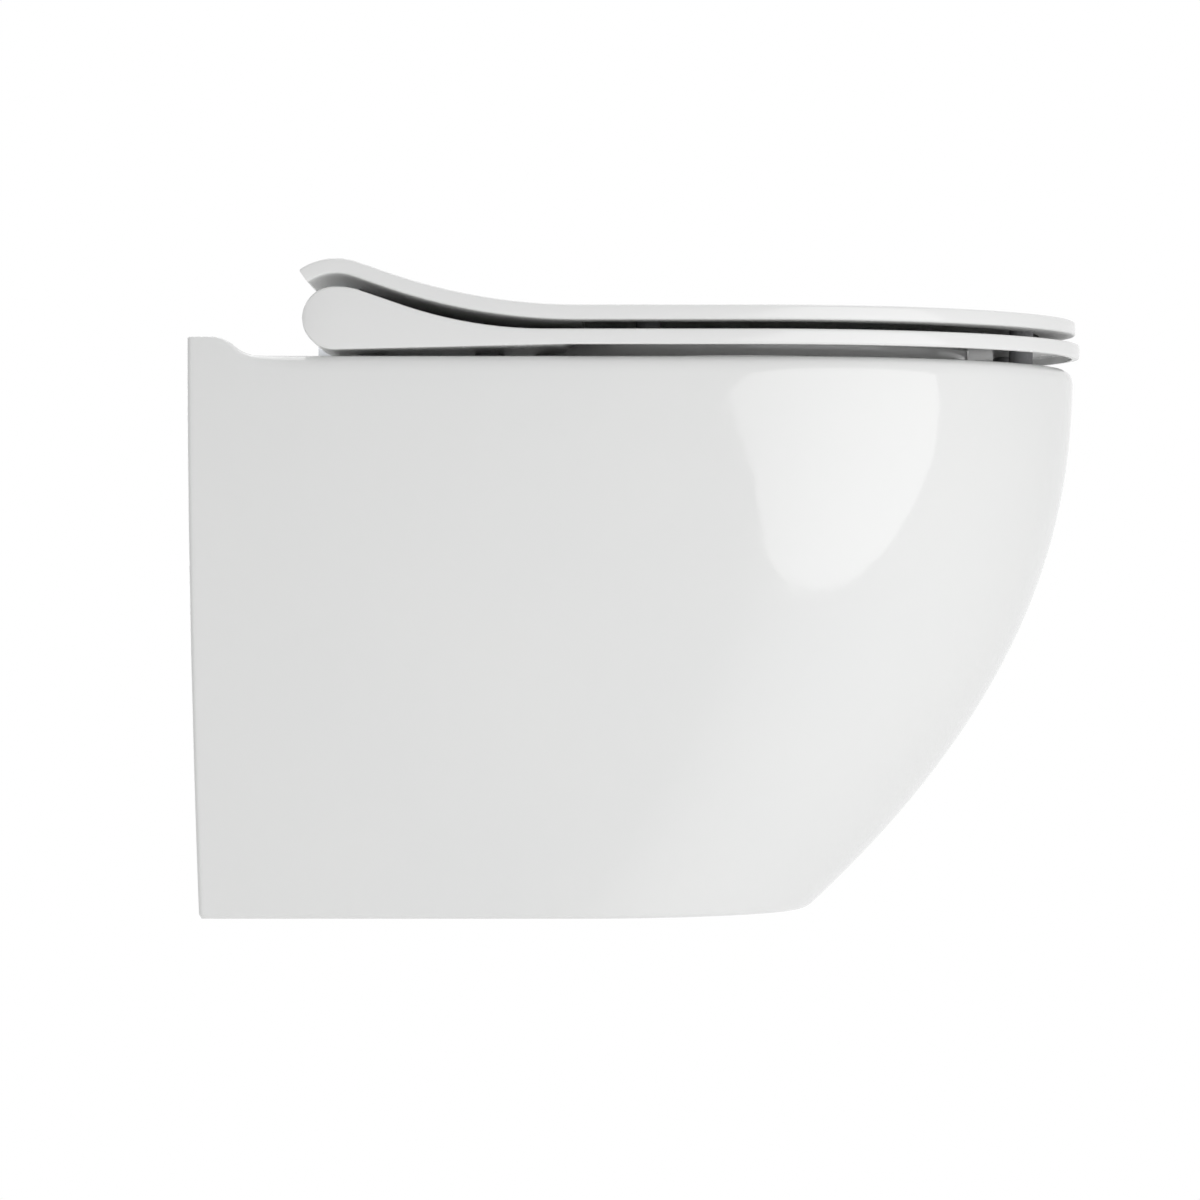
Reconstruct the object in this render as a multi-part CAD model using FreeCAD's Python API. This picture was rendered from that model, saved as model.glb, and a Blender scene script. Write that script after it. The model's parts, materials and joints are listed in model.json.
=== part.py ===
"""A wall hung toilet: one-piece ceramic pan, seat and lid on quick-release soft-close hinges.

Millimetres. X is across, -Y points from the wall into the room and Z is up. The wall is the plane
Y = 0, and the origin lies midway between the two wall studs that carry the pan.
"""

import FreeCAD, Part

import math
import os

V = FreeCAD.Vector

# --- pan: overall sizes -------------------------------------------------------------------------
PAN_PROJECTION = 520.0        # wall to the front of the rim
PAN_WIDTH = 360.0             # across the rim
PAN_HEIGHT = 325.0            # underside to the rim deck
DECK_ABOVE_STUDS = 80.0       # rim deck over the wall studs
UPSTAND_RISE = 10.5           # ridge at the wall, over the deck
UPSTAND_FLAT = 12.0           # depth of the ridge's flat top
UPSTAND_RUN = 27.0            # length of the S-curve from the ridge down to the deck
NOSE_LENGTH = 196.0           # rounded front of the rim, as seen from above
NOSE_TIP_POWER = 1.85         # roundness at the tip; 2 would be an ellipse
NOSE_SIDE_POWER = 1.95        # and where the nose runs into the sides
FOOT_REACH = 359.0            # wall to the front of the underside
FOOT_WIDTH = 208.0            # across the underside
FOOT_NOSE_LENGTH = 140.0
FRONT_SWELL = 2.2             # how early the front bulges out above the foot
SIDE_SWELL = 1.8              # the same for the sides
RIM_EDGE_RADIUS = 10.0
RIM_EDGE_STARTS = 20.0        # wall to where the rim's round begins to show
RIM_EDGE_FULL = 60.0          # and to where it is whole
FOOT_EDGE_RADIUS = 3.5

# --- pan: ceramic inside ------------------------------------------------------------------------
SHELL_WALL = 12.0
DECK_WALL = 13.0
BOWL_WALL = 11.0
RIM_WIDTH = 42.0              # rim ring between the outside and the bowl
BOWL_REAR = 195.0             # wall to the rear edge of the bowl's mouth
BOWL_REAR_POWERS = (2.5, 2.5)
BOWL_DEPTH = 282.0            # deck to the lowest point of the sump
SUMP_FRONT = 332.0            # wall to the front of the sump floor
SUMP_REAR = 252.0
SUMP_WIDTH = 60.0
BOWL_FRONT_FALL = 1.9         # powers that bend the bowl's walls towards the sump
BOWL_SIDE_FALL = 2.2
BOWL_REAR_FALL = 1.6

# --- water ways ---------------------------------------------------------------------------------
TRAP_RADIUS = 36.0
TRAP_WALL = 9.0
TRAP_DIP_BELOW_STUDS = 166.0  # centre line of the trap where it leaves the sump
TRAP_CREST_CORNER = 15.0      # corner of the centre line over the weir, below the studs
TRAP_CREST_FROM_WALL = 178.0
TRAP_RISE_ANGLE = 62.0
TRAP_FALL_ANGLE = 38.0
TRAP_BEND = 52.0
OUTLET_BELOW_STUDS = 100.0
SPIGOT_RADIUS = 51.0
SPIGOT_LENGTH = 60.0
INLET_ABOVE_OUTLET = 135.0
INLET_RADIUS = 27.5
INLET_DEPTH = 46.0
INLET_WALL = 9.0
FLUSH_WAY_RADIUS = 17.0
FLUSH_WAY_WALL = 8.0
FLUSH_PIPE_RADIUS = 22.5      # pipe that the wall frame supplies
DISTRIBUTOR_WIDTH = 64.0
DISTRIBUTOR_HEIGHT = 26.0
DISTRIBUTOR_DEPTH = 12.0
DISTRIBUTOR_STANDS = 5.5      # its head stands this far into the bowl
DISTRIBUTOR_NECK = 40.5       # from its head back into the flush way
DISTRIBUTOR_WALL = 2.5
DISTRIBUTOR_EDGE = 5.0        # over and under the two side jets
DISTRIBUTOR_CORNER = 4.0
DOWN_JET_WIDTH = 18.0

# --- wall fixing --------------------------------------------------------------------------------
STUD_SPACING = 180.0
STUD_HOLE_RADIUS = 6.5        # for an M12 stud
STUD_HOLE_DEPTH = 62.0
CLAMP_WIDTH = 42.0
CLAMP_HEIGHT = 34.0
CLAMP_LENGTH = 100.0
CLAMP_CORNER = 4.0
CLAMP_CLEARANCE = 1.5         # between the clamp and its ceramic channel
CHANNEL_SPARE = 4.0           # channel left free past the clamp
CHANNEL_WALL = 10.0
CLAMP_SCREW_RADIUS = 5.0
CLAMP_SCREW_LENGTH = 30.0
CLAMP_SCREW_HEX = 2.9         # centre to corner of the key's hexagon
CLAMP_SCREW_HEX_DEPTH = 6.0
SHELF_WALL = 11.0             # ceramic shelf that joins the channels to the sides

# --- seat and lid -------------------------------------------------------------------------------
HINGE_FROM_WALL = 83.0
HINGE_ABOVE_DECK = 21.0
HINGE_SPACING = 155.0
BARREL_RADIUS = 17.8          # the seat's rear, round the hinge line
SEAT_ABOVE_DECK = 6.2         # underside of the seat
SEAT_THICKNESS = 8.8
SEAT_OVERHANG_FRONT = 4.0     # past the pan's rim
SEAT_OVERHANG_SIDE = 1.5
SEAT_RING_FRONT = 72.0        # width of the ring at the front
SEAT_RING_SIDE = 66.0
SEAT_OPENING_REAR = 186.0     # wall to the rear edge of the opening
SEAT_OPENING_POWERS = (2.0, 2.0), (2.4, 2.4)     # front half and rear half
SEAT_SKIN = 4.0
SEAT_LIP = 4.5
RAMP_ANGLE = 19.0             # slope of seat and lid up to the hinge
RAMP_SHOULDER = 35.0          # radius at the ramp's top
RAMP_SWEEP = 250.0            # radius at the ramp's foot
RAMP_TOP_FROM_AXIS = 3.0
RAMP_CLEAR = 212.0            # wall to where the seat is flat again
LID_GAP = 5.2                 # between seat and lid
LID_THICKNESS = 8.5
LID_OVERHANG_FRONT = 1.5
LID_OVERHANG_SIDE = 0.5
LID_SWEEP = 260.0             # radius at the foot of the lid's ramp
LID_SKIN = 4.5
LID_LIP = 6.0
HUMP_RADIUS = 37.0            # outside of the lid over the hinge
HUMP_TOP_ABOVE_AXIS = 33.9
HUMP_BEHIND_AXIS = -1.5
TAIL_ANGLE = 35.0             # turn of the hump past its top

# --- hinge parts --------------------------------------------------------------------------------
RUNNING_CLEARANCE = 0.05
SEAT_CLEARANCE = 0.3
GASKET_THICKNESS = 0.8
BASE_RADIUS = 20.0
BASE_THICKNESS = 2.0
STUD_RADIUS = 6.0
STUD_FLANGE_RADIUS = 10.0
STUD_FLANGE_THICKNESS = 2.0
STUD_TOP_ABOVE_DECK = 25.0
STUD_CHAMFER = 1.2
GROOVE_RADIUS = 4.5
GROOVE_WIDTH = 2.4
GROOVE_ABOVE_DECK = 17.0
BOLT_RADIUS = 4.0
BOLT_LENGTH = 44.0            # below the deck
HINGE_HOLE_RADIUS = 8.0
HINGE_HOLE_DEPTH = 75.0       # through the deck and any ceramic under it
PLUG_LENGTH = 34.0
PLUG_SWELL = 3.0              # swollen part of the plug, over its hole's radius
PLUG_CHAMFER = 2.5
NUT_WIDTH = 13.0
NUT_THICKNESS = 6.5
HOUSING_WIDTH = 27.0
HOUSING_RADIUS = 17.3
HOUSING_FOOT = 14.0
PIN_RADIUS = 4.0
PIN_SEAT_DEPTH = 6.5
KNUCKLE_GAP = 2.0
SEAT_RELIEF = 0.8             # seat's hollow round the housings and the lid's barrel
DAMPER_RADIUS = 8.0
DAMPER_LENGTH = 52.0
DAMPER_SHAFT_DEPTH = 12.0
BUSH_RADIUS = 6.0
BUSH_LENGTH = 24.0
LID_BARREL_RADIUS = 13.5
LID_WEB_THICKNESS = 14.0
BUTTON_WIDTH = 13.0
BUTTON_HEIGHT = 4.4
BUTTON_PROUD = 2.6            # out of the housing's rear face
BUTTON_TIP = 2.4              # clear of the stud
BUTTON_NOSE = 3.0
BUTTON_EDGE = 0.8
CLIP_WIRE = 1.2
BUFFER_RADIUS = 7.0
BUFFER_BEHIND_RIM = 36.0      # front buffers, from the pan's front
SEAT_BUFFER_FRONT_X = 55.0
SEAT_BUFFER_REAR_X = 100.0
SEAT_BUFFER_REAR_FROM_WALL = 168.0
SEAT_BUFFER_DEPTH = 4.0       # of the rear buffers' sockets over the flat underside
LID_BUFFER_FRONT_X = 58.0
LID_BUFFER_REAR_X = 124.0
LID_BUFFER_REAR_FROM_WALL = 262.0
LID_POCKET_CLEAR = 12.0       # lid's underside left whole past the seat's ramp

# --- worked out from the sizes above ------------------------------------------------------------
DECK_Z = DECK_ABOVE_STUDS
NOSE_POWERS = (NOSE_TIP_POWER, NOSE_SIDE_POWER)
FOOT_Z = DECK_Z - PAN_HEIGHT
INLET_Z = INLET_ABOVE_OUTLET - OUTLET_BELOW_STUDS
AXIS_Y = -HINGE_FROM_WALL
AXIS_Z = DECK_Z + HINGE_ABOVE_DECK
POST_X = HINGE_SPACING / 2
HOUSING_IN = POST_X - HOUSING_WIDTH / 2
HOUSING_OUT = POST_X + HOUSING_WIDTH / 2
KNUCKLE_IN = HOUSING_OUT + KNUCKLE_GAP
LID_BARREL_HALF = HOUSING_IN - KNUCKLE_GAP
BASE_TOP = DECK_Z + GASKET_THICKNESS + BASE_THICKNESS
WIDE_Y = NOSE_LENGTH - PAN_PROJECTION
SEAT_HALF = PAN_WIDTH / 2 + SEAT_OVERHANG_SIDE
SEAT_UNDER = DECK_Z + SEAT_ABOVE_DECK
SEAT_TOP = SEAT_UNDER + SEAT_THICKNESS
LID_UNDER = SEAT_TOP + LID_GAP
LID_TOP = LID_UNDER + LID_THICKNESS
SEAT_BUFFER_FRONT = (SEAT_BUFFER_FRONT_X, PAN_PROJECTION - BUFFER_BEHIND_RIM)
SEAT_BUFFER_REAR = (SEAT_BUFFER_REAR_X, SEAT_BUFFER_REAR_FROM_WALL)
LID_BUFFER_FRONT = (LID_BUFFER_FRONT_X, PAN_PROJECTION - BUFFER_BEHIND_RIM)
LID_BUFFER_REAR = (LID_BUFFER_REAR_X, LID_BUFFER_REAR_FROM_WALL)
BEYOND = 400.0                # a length that clears the whole part
PAST = 1.0                    # a cut runs this far past the face that it opens
SIDE_STEPS = 10               # points along a straight side
NOSE_STEPS = 9                # and from a side to the tip
WALL_BANDS = 10               # bands from the foot to the rim
ROUND_BANDS = 3               # bands of a rounded edge
BOWL_BANDS = 7
BEND_STEPS = 4                # straight pieces in each bend of the trap


# --- shapes that many pieces share --------------------------------------------------------------
def save(name, shape):
    """Write one piece, or one set of like pieces, under its own name."""
    shape.exportStep(os.path.join("parts", name + ".step"))
    print(f"{name}: {shape.Volume / 1000:.1f} cm3, valid {shape.isValid()}")


def box(x0, x1, y0, y1, z0, z1):
    return Part.makeBox(x1 - x0, y1 - y0, z1 - z0, V(x0, y0, z0))


def rod(radius, start, end):
    """A cylinder between two points."""
    return Part.makeCylinder(radius, (end - start).Length, start, end - start)


def post(low, high, radius):
    return rod(radius, V(POST_X, AXIS_Y, low), V(POST_X, AXIS_Y, high))


def hinge_rod(radius, start_x, end_x):
    """A cylinder on the hinge line."""
    return rod(radius, V(start_x, AXIS_Y, AXIS_Z), V(end_x, AXIS_Y, AXIS_Z))


def prism(radius, sides, centre, height):
    """An upright regular prism; the radius is from its middle to a corner."""
    turns = [math.radians(360.0 * i / sides) for i in range(sides)]
    corners = [centre + V(radius * math.cos(turn), radius * math.sin(turn), 0) for turn in turns]
    return upright(polygon(corners), height)


def across(profile, x0, x1):
    """A side profile, drawn in the plane X = 0, as a solid from x0 to x1."""
    solid = Part.Face(profile).extrude(V(x1 - x0, 0, 0))
    solid.translate(V(x0, 0, 0))
    return solid


def side_point(y, z):
    return V(0, y, z)


def on_circle(centre_y, centre_z, radius, degrees):
    """A point of a circle in the side view; 0 points to the room and 90 points up."""
    turn = math.radians(degrees)
    return side_point(centre_y - radius * math.cos(turn), centre_z + radius * math.sin(turn))


def side_arc(centre_y, centre_z, radius, start, end):
    middle = on_circle(centre_y, centre_z, radius, (start + end) / 2)
    first = on_circle(centre_y, centre_z, radius, start)
    last = on_circle(centre_y, centre_z, radius, end)
    return Part.Arc(first, middle, last).toShape()


def line(a, b):
    return Part.LineSegment(a, b).toShape()


def polygon(points):
    return Part.makePolygon(points + points[:1])


def nose_points(half_width, wide_y, tip_y, powers, z, count):
    """Points of a superellipse from +X over the tip to -X; the powers are the tip's and the sides'."""
    points = []
    for i in range(-count, count + 1):
        turn = math.radians(90.0 * i / count)
        share_x = math.copysign(abs(math.sin(turn)) ** (2 / powers[0]), -turn)
        share_y = math.cos(turn) ** (2 / powers[1]) if abs(i) < count else 0.0
        points.append(V(half_width * share_x, wide_y + (tip_y - wide_y) * share_y, z))
    return points


def through(points, out):
    """A smooth edge through points, evenly timed, that sets off along out and ends against it."""
    curve = Part.BSplineCurve()
    curve.interpolate(Points=points, Parameters=[float(i) for i in range(len(points))],
                      InitialTangent=out * (points[1] - points[0]).Length,
                      FinalTangent=out * -(points[-1] - points[-2]).Length, Scale=False)
    return curve.toShape()


def round_end(half_width, wide_y, tip_y, powers, z):
    """One smooth edge from +X over the tip to -X, square to the sides at both ends."""
    out = V(0, math.copysign(1, tip_y - wide_y), 0)
    return through(nose_points(half_width, wide_y, tip_y, powers, z, NOSE_STEPS), out)


def reversed_ends(half_width, wide_y, tip_y, powers, z):
    edge = round_end(half_width, wide_y, tip_y, powers, z)
    edge.reverse()
    return edge


def d_outline(half_width, wide_y, front_y, rear_y, powers, z):
    """A round front and straight sides in one smooth curve, closed by a straight rear edge."""
    run = (wide_y - rear_y) / SIDE_STEPS
    side = [V(half_width, rear_y + run * i, z) for i in range(SIDE_STEPS)]
    nose = nose_points(half_width, wide_y, front_y, powers, z, NOSE_STEPS)
    points = side + nose + [V(-p.x, p.y, z) for p in reversed(side)]
    out = V(0, math.copysign(1, front_y - rear_y), 0)
    return Part.Wire([through(points, out), line(points[-1], points[0])])


def egg_outline(half_width, wide_y, front_y, rear_y, front_powers, rear_powers, z):
    front = round_end(half_width, wide_y, front_y, front_powers, z)
    rear = reversed_ends(half_width, wide_y, rear_y, rear_powers, z)
    return Part.Wire([front, rear])


def upright(outline, height):
    return Part.Face(outline).extrude(V(0, 0, height))


def mirrored(shape):
    return shape.mirror(V(0, 0, 0), V(1, 0, 0))


def pair(make):
    """The right-hand piece as it is made, and its mirror image for the left."""
    right = make()
    return {"right": right, "left": mirrored(right)}


# --- pan ----------------------------------------------------------------------------------------
def swelling(low, high, share, power):
    return low + (high - low) * (1 - max(0.0, 1 - share) ** power)


def pan_section(z, inset, rear_y):
    """The pan's outline at a height, moved in by a wall."""
    share = (z - FOOT_Z) / PAN_HEIGHT
    half = swelling(FOOT_WIDTH / 2, PAN_WIDTH / 2, share, SIDE_SWELL)
    reach = swelling(FOOT_REACH, PAN_PROJECTION, share, FRONT_SWELL)
    nose = swelling(FOOT_NOSE_LENGTH, NOSE_LENGTH, share, FRONT_SWELL)
    return d_outline(half - inset, nose - reach, inset - reach, rear_y, NOSE_POWERS, z)


def banded(sections):
    """A solid through level sections, with straight bands between them."""
    return Part.makeLoft(sections, True, True)


def pan_body(inset, low_z, high_z, rear_y):
    heights = [low_z + (high_z - low_z) * i / WALL_BANDS for i in range(WALL_BANDS + 1)]
    return banded([pan_section(z, inset, rear_y) for z in heights])


def rounded_edge(edge_z, radius, rear_y):
    """The part of the pan next to an edge level: rounded under a rim, or over a foot for radius < 0."""
    sections = []
    for i in range(ROUND_BANDS + 1):
        turn = math.radians(90.0 * i / ROUND_BANDS)
        z = edge_z - radius * (1 - math.sin(turn))
        sections.append(pan_section(z, abs(radius) * (1 - math.cos(turn)), rear_y))
    return banded(sections)


def above_deck():
    """All that lies over the deck and the ridge at the wall."""
    radius = (UPSTAND_RUN ** 2 + UPSTAND_RISE ** 2) / (4 * UPSTAND_RISE)
    half_turn = math.degrees(math.asin(UPSTAND_RUN / 2 / radius))
    ridge_z = DECK_Z + UPSTAND_RISE
    foot_y = -UPSTAND_FLAT - UPSTAND_RUN
    low = side_arc(foot_y, DECK_Z + radius, radius, -90, -90 - half_turn)
    high = side_arc(-UPSTAND_FLAT, ridge_z - radius, radius, 90 - half_turn, 90)
    far = side_point(-PAN_PROJECTION - BEYOND, DECK_Z)
    top_far = side_point(-PAN_PROJECTION - BEYOND, DECK_Z + BEYOND)
    top_near = side_point(BEYOND, DECK_Z + BEYOND)
    near = side_point(BEYOND, ridge_z)
    edges = [line(far, side_point(foot_y, DECK_Z)), low, high,
             line(side_point(-UPSTAND_FLAT, ridge_z), near),
             line(near, top_near), line(top_near, top_far), line(top_far, far)]
    return across(Part.Wire(edges), -BEYOND, BEYOND)


def ridge(rear_y):
    """The deck's end at the wall: it rises, and takes the round off the rim's sides."""
    low = DECK_Z - RIM_EDGE_RADIUS
    high = DECK_Z + UPSTAND_RISE + PAST
    wide = PAN_WIDTH / 2 + PAST
    narrow = PAN_WIDTH / 2 - RIM_EDGE_RADIUS - PAST
    plan_view = [(wide, rear_y + PAST), (wide, -RIM_EDGE_STARTS), (narrow, -RIM_EDGE_FULL),
                 (-narrow, -RIM_EDGE_FULL), (-wide, -RIM_EDGE_STARTS), (-wide, rear_y + PAST)]
    near_wall = upright(polygon([V(x, y, low - PAST) for x, y in plan_view]), BEYOND)
    whole = banded([pan_section(z, 0.0, rear_y) for z in (low, high)])
    return whole.common(near_wall).cut(above_deck())


def pan_outside():
    rear_y = RIM_EDGE_STARTS
    low = FOOT_Z + FOOT_EDGE_RADIUS
    high = DECK_Z - RIM_EDGE_RADIUS
    body = pan_body(0.0, low, high, rear_y).fuse([rounded_edge(FOOT_Z, -FOOT_EDGE_RADIUS, rear_y),
                                                  rounded_edge(DECK_Z, RIM_EDGE_RADIUS, rear_y),
                                                  ridge(rear_y)])
    return body.cut(box(-BEYOND, BEYOND, 0, BEYOND, -BEYOND, BEYOND))


def bowl(grow, depth):
    """The bowl's hollow, or with grow the outside of its wall."""
    sections = []
    for i in range(BOWL_BANDS + 1):
        share = i / BOWL_BANDS
        front = PAN_PROJECTION - RIM_WIDTH
        front -= (front - SUMP_FRONT) * share ** BOWL_FRONT_FALL
        rear = BOWL_REAR + (SUMP_REAR - BOWL_REAR) * share ** BOWL_REAR_FALL
        half = PAN_WIDTH / 2 - RIM_WIDTH
        half -= (half - SUMP_WIDTH / 2) * share ** BOWL_SIDE_FALL
        wide = -WIDE_Y + (SUMP_FRONT / 2 + SUMP_REAR / 2 + WIDE_Y) * share
        sections.append(egg_outline(half + grow, -wide, -front - grow, grow - rear,
                                    NOSE_POWERS, BOWL_REAR_POWERS, DECK_Z - depth * share))
    return banded(sections)


def bent_path(points, radius):
    """The points, with each corner turned in short straight steps; all in the plane X = 0."""
    found = [points[0]]
    for before, corner, after in zip(points, points[1:], points[2:]):
        inward = (before - corner).normalize()
        outward = (after - corner).normalize()
        half_angle = inward.getAngle(outward) / 2
        to_centre = (inward + outward).normalize()
        centre = corner + to_centre * (radius / math.sin(half_angle))
        start = corner + inward * (radius / math.tan(half_angle)) - centre
        turn = math.degrees(math.pi - 2 * half_angle)
        sense = inward.cross(outward)
        for i in range(BEND_STEPS + 1):
            spin = FreeCAD.Rotation(sense, -turn * i / BEND_STEPS)
            found.append(centre + spin.multVec(start))
    return found + [points[-1]]


def trap_points(end_y):
    rise = math.radians(TRAP_RISE_ANGLE)
    fall = math.radians(TRAP_FALL_ANGLE)
    climb = TRAP_DIP_BELOW_STUDS - TRAP_CREST_CORNER
    drop = OUTLET_BELOW_STUDS - TRAP_CREST_CORNER
    dip_y = -TRAP_CREST_FROM_WALL - climb / math.tan(rise)
    level_y = -TRAP_CREST_FROM_WALL + drop / math.tan(fall)
    sump_y = TRAP_RADIUS / 2 - SUMP_FRONT
    return [side_point(sump_y, -TRAP_DIP_BELOW_STUDS), side_point(dip_y, -TRAP_DIP_BELOW_STUDS),
            side_point(-TRAP_CREST_FROM_WALL, -TRAP_CREST_CORNER),
            side_point(level_y, -OUTLET_BELOW_STUDS), side_point(end_y, -OUTLET_BELOW_STUDS)]


def tube_along(points, bend, radius):
    path = Part.makePolygon(bent_path(points, bend))
    ring = Part.Circle(points[0], points[1] - points[0], radius).toShape()
    return path.makePipeShell([Part.Wire([ring])], True, False, 1)


def channel(grow, length):
    """The clamp's channel behind one wall stud, or with grow the ceramic round it."""
    side = CLAMP_WIDTH / 2 + CLAMP_CLEARANCE + grow
    high = CLAMP_HEIGHT / 2 + CLAMP_CLEARANCE + grow
    middle = STUD_SPACING / 2
    return box(middle - side, middle + side, -length - grow, PAST, -high, high)


def pan_cores(outside):
    """Ceramic inside the shell: the bowl's wall, the trap, both pipe sockets and the wall fixing."""
    outlet, inlet = V(0, 0, -OUTLET_BELOW_STUDS), V(0, 0, INLET_Z)
    channel_skin = channel(CHANNEL_WALL, CLAMP_LENGTH + CHANNEL_SPARE)
    solids = [tube_along(trap_points(0.0), TRAP_BEND, TRAP_RADIUS + TRAP_WALL),
              rod(SPIGOT_RADIUS, outlet, outlet - V(0, SPIGOT_LENGTH, 0)),
              rod(INLET_RADIUS + INLET_WALL, inlet, inlet - V(0, INLET_DEPTH + INLET_WALL, 0)),
              rod(FLUSH_WAY_RADIUS + FLUSH_WAY_WALL, inlet, inlet - V(0, BOWL_REAR + BOWL_WALL / 2, 0)),
              box(-PAN_WIDTH / 2, PAN_WIDTH / 2, -CLAMP_LENGTH, 0, -SHELF_WALL / 2, SHELF_WALL / 2),
              channel_skin, mirrored(channel_skin)]
    return bowl(BOWL_WALL, BOWL_DEPTH + BOWL_WALL).fuse(solids).common(outside)


def pan_ways():
    """All that is open in the pan: bowl, trap, pipe sockets, clamp channels and hinge holes."""
    inlet = V(0, 0, INLET_Z)
    clamp_channel = channel(0.0, CLAMP_LENGTH + CHANNEL_SPARE)
    hinge_hole = post(DECK_Z - HINGE_HOLE_DEPTH, DECK_Z + PAST, HINGE_HOLE_RADIUS)
    return [bowl(0.0, BOWL_DEPTH), tube_along(trap_points(PAST), TRAP_BEND, TRAP_RADIUS),
            rod(INLET_RADIUS, inlet + V(0, PAST, 0), inlet - V(0, INLET_DEPTH, 0)),
            rod(FLUSH_WAY_RADIUS, inlet, inlet - V(0, BOWL_REAR + FLUSH_WAY_RADIUS, 0)),
            clamp_channel, mirrored(clamp_channel), hinge_hole, mirrored(hinge_hole)]


def ceramic_pan():
    outside = pan_outside()
    hollow = pan_body(SHELL_WALL, FOOT_Z + SHELL_WALL, DECK_Z - DECK_WALL, RIM_EDGE_STARTS)
    return outside.cut(hollow).fuse(pan_cores(outside)).cut(pan_ways())


# --- seat and lid -------------------------------------------------------------------------------
def ramp(shoulder_y, shoulder_z, shoulder_radius, sweep_radius, flat_z, far_y):
    """From the far front along a flat, a sweep, a ramp and a shoulder to the shoulder's top."""
    rise = math.radians(RAMP_ANGLE)
    centre_z = shoulder_z - shoulder_radius
    ramp_top = on_circle(shoulder_y, centre_z, shoulder_radius, 90 - RAMP_ANGLE)
    ramp_foot_z = flat_z + sweep_radius * (1 - math.cos(rise))
    ramp_foot_y = ramp_top.y - (ramp_top.z - ramp_foot_z) / math.tan(rise)
    sweep_y = ramp_foot_y - sweep_radius * math.sin(rise)
    return [line(side_point(far_y, flat_z), side_point(sweep_y, flat_z)),
            side_arc(sweep_y, flat_z + sweep_radius, sweep_radius, -90, -90 - RAMP_ANGLE),
            line(side_point(ramp_foot_y, ramp_foot_z), ramp_top),
            side_arc(shoulder_y, centre_z, shoulder_radius, 90 - RAMP_ANGLE, 90)]


def seat_profile():
    far_y = -PAN_PROJECTION - BEYOND
    shoulder_y = AXIS_Y - RAMP_TOP_FROM_AXIS
    barrel_top = AXIS_Z + BARREL_RADIUS
    top = ramp(shoulder_y, barrel_top, RAMP_SHOULDER, RAMP_SWEEP, SEAT_TOP, far_y)
    top.append(line(side_point(shoulder_y, barrel_top), side_point(AXIS_Y, barrel_top)))
    flat_end = side_point(-RAMP_CLEAR, SEAT_UNDER)
    run = math.hypot(flat_end.y - AXIS_Y, flat_end.z - AXIS_Z)
    towards = math.degrees(math.atan2(AXIS_Z - flat_end.z, AXIS_Y - flat_end.y))
    touch = -towards - math.degrees(math.acos(BARREL_RADIUS / run))
    barrel = side_arc(AXIS_Y, AXIS_Z, BARREL_RADIUS, 90, 360 + touch)
    under = [line(on_circle(AXIS_Y, AXIS_Z, BARREL_RADIUS, touch), flat_end),
             line(flat_end, side_point(far_y, SEAT_UNDER)),
             line(side_point(far_y, SEAT_UNDER), side_point(far_y, SEAT_TOP))]
    return Part.Wire(top + [barrel] + under)


def plan(half_width, reach, z):
    """The seat's and lid's outline from above, running on past the hinge."""
    return d_outline(half_width, WIDE_Y, -reach, 0.0, NOSE_POWERS, z)


def seat_opening(grow, z):
    half = SEAT_HALF - SEAT_RING_SIDE + grow
    front = PAN_PROJECTION + SEAT_OVERHANG_FRONT - SEAT_RING_FRONT + grow
    wide_y = -(front + SEAT_OPENING_REAR) / 2
    return egg_outline(half, wide_y, -front, grow - SEAT_OPENING_REAR, *SEAT_OPENING_POWERS, z)


def seat_ring():
    reach = PAN_PROJECTION + SEAT_OVERHANG_FRONT
    slab = across(seat_profile(), -PAN_WIDTH, PAN_WIDTH)
    seat = slab.common(upright(plan(SEAT_HALF, reach, FOOT_Z), PAN_HEIGHT + BEYOND))
    seat = seat.cut(upright(seat_opening(0.0, FOOT_Z), PAN_HEIGHT + BEYOND))
    pocket = upright(plan(SEAT_HALF - SEAT_LIP, reach - SEAT_LIP, DECK_Z), SEAT_TOP - SEAT_SKIN - DECK_Z)
    pocket = pocket.cut(upright(seat_opening(SEAT_LIP, FOOT_Z), BEYOND * 2))
    pocket = pocket.cut(box(-BEYOND, BEYOND, -RAMP_CLEAR, BEYOND, DECK_Z - PAST, DECK_Z + BEYOND))
    relief_y = AXIS_Y - BARREL_RADIUS - SEAT_RELIEF
    relief = box(-KNUCKLE_IN, KNUCKLE_IN, relief_y, BEYOND, DECK_Z, DECK_Z + BEYOND)
    damper = hinge_rod(DAMPER_RADIUS + RUNNING_CLEARANCE, KNUCKLE_IN - PAST,
                       KNUCKLE_IN + DAMPER_LENGTH + SEAT_CLEARANCE)
    bush = hinge_rod(BUSH_RADIUS + RUNNING_CLEARANCE, PAST - KNUCKLE_IN,
                     -KNUCKLE_IN - BUSH_LENGTH - SEAT_CLEARANCE)
    sockets = buffers(SEAT_BUFFER_REAR, DECK_Z, SEAT_UNDER + SEAT_BUFFER_DEPTH, RUNNING_CLEARANCE)
    return seat.cut([pocket, relief, damper, bush] + sockets.Solids)


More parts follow.
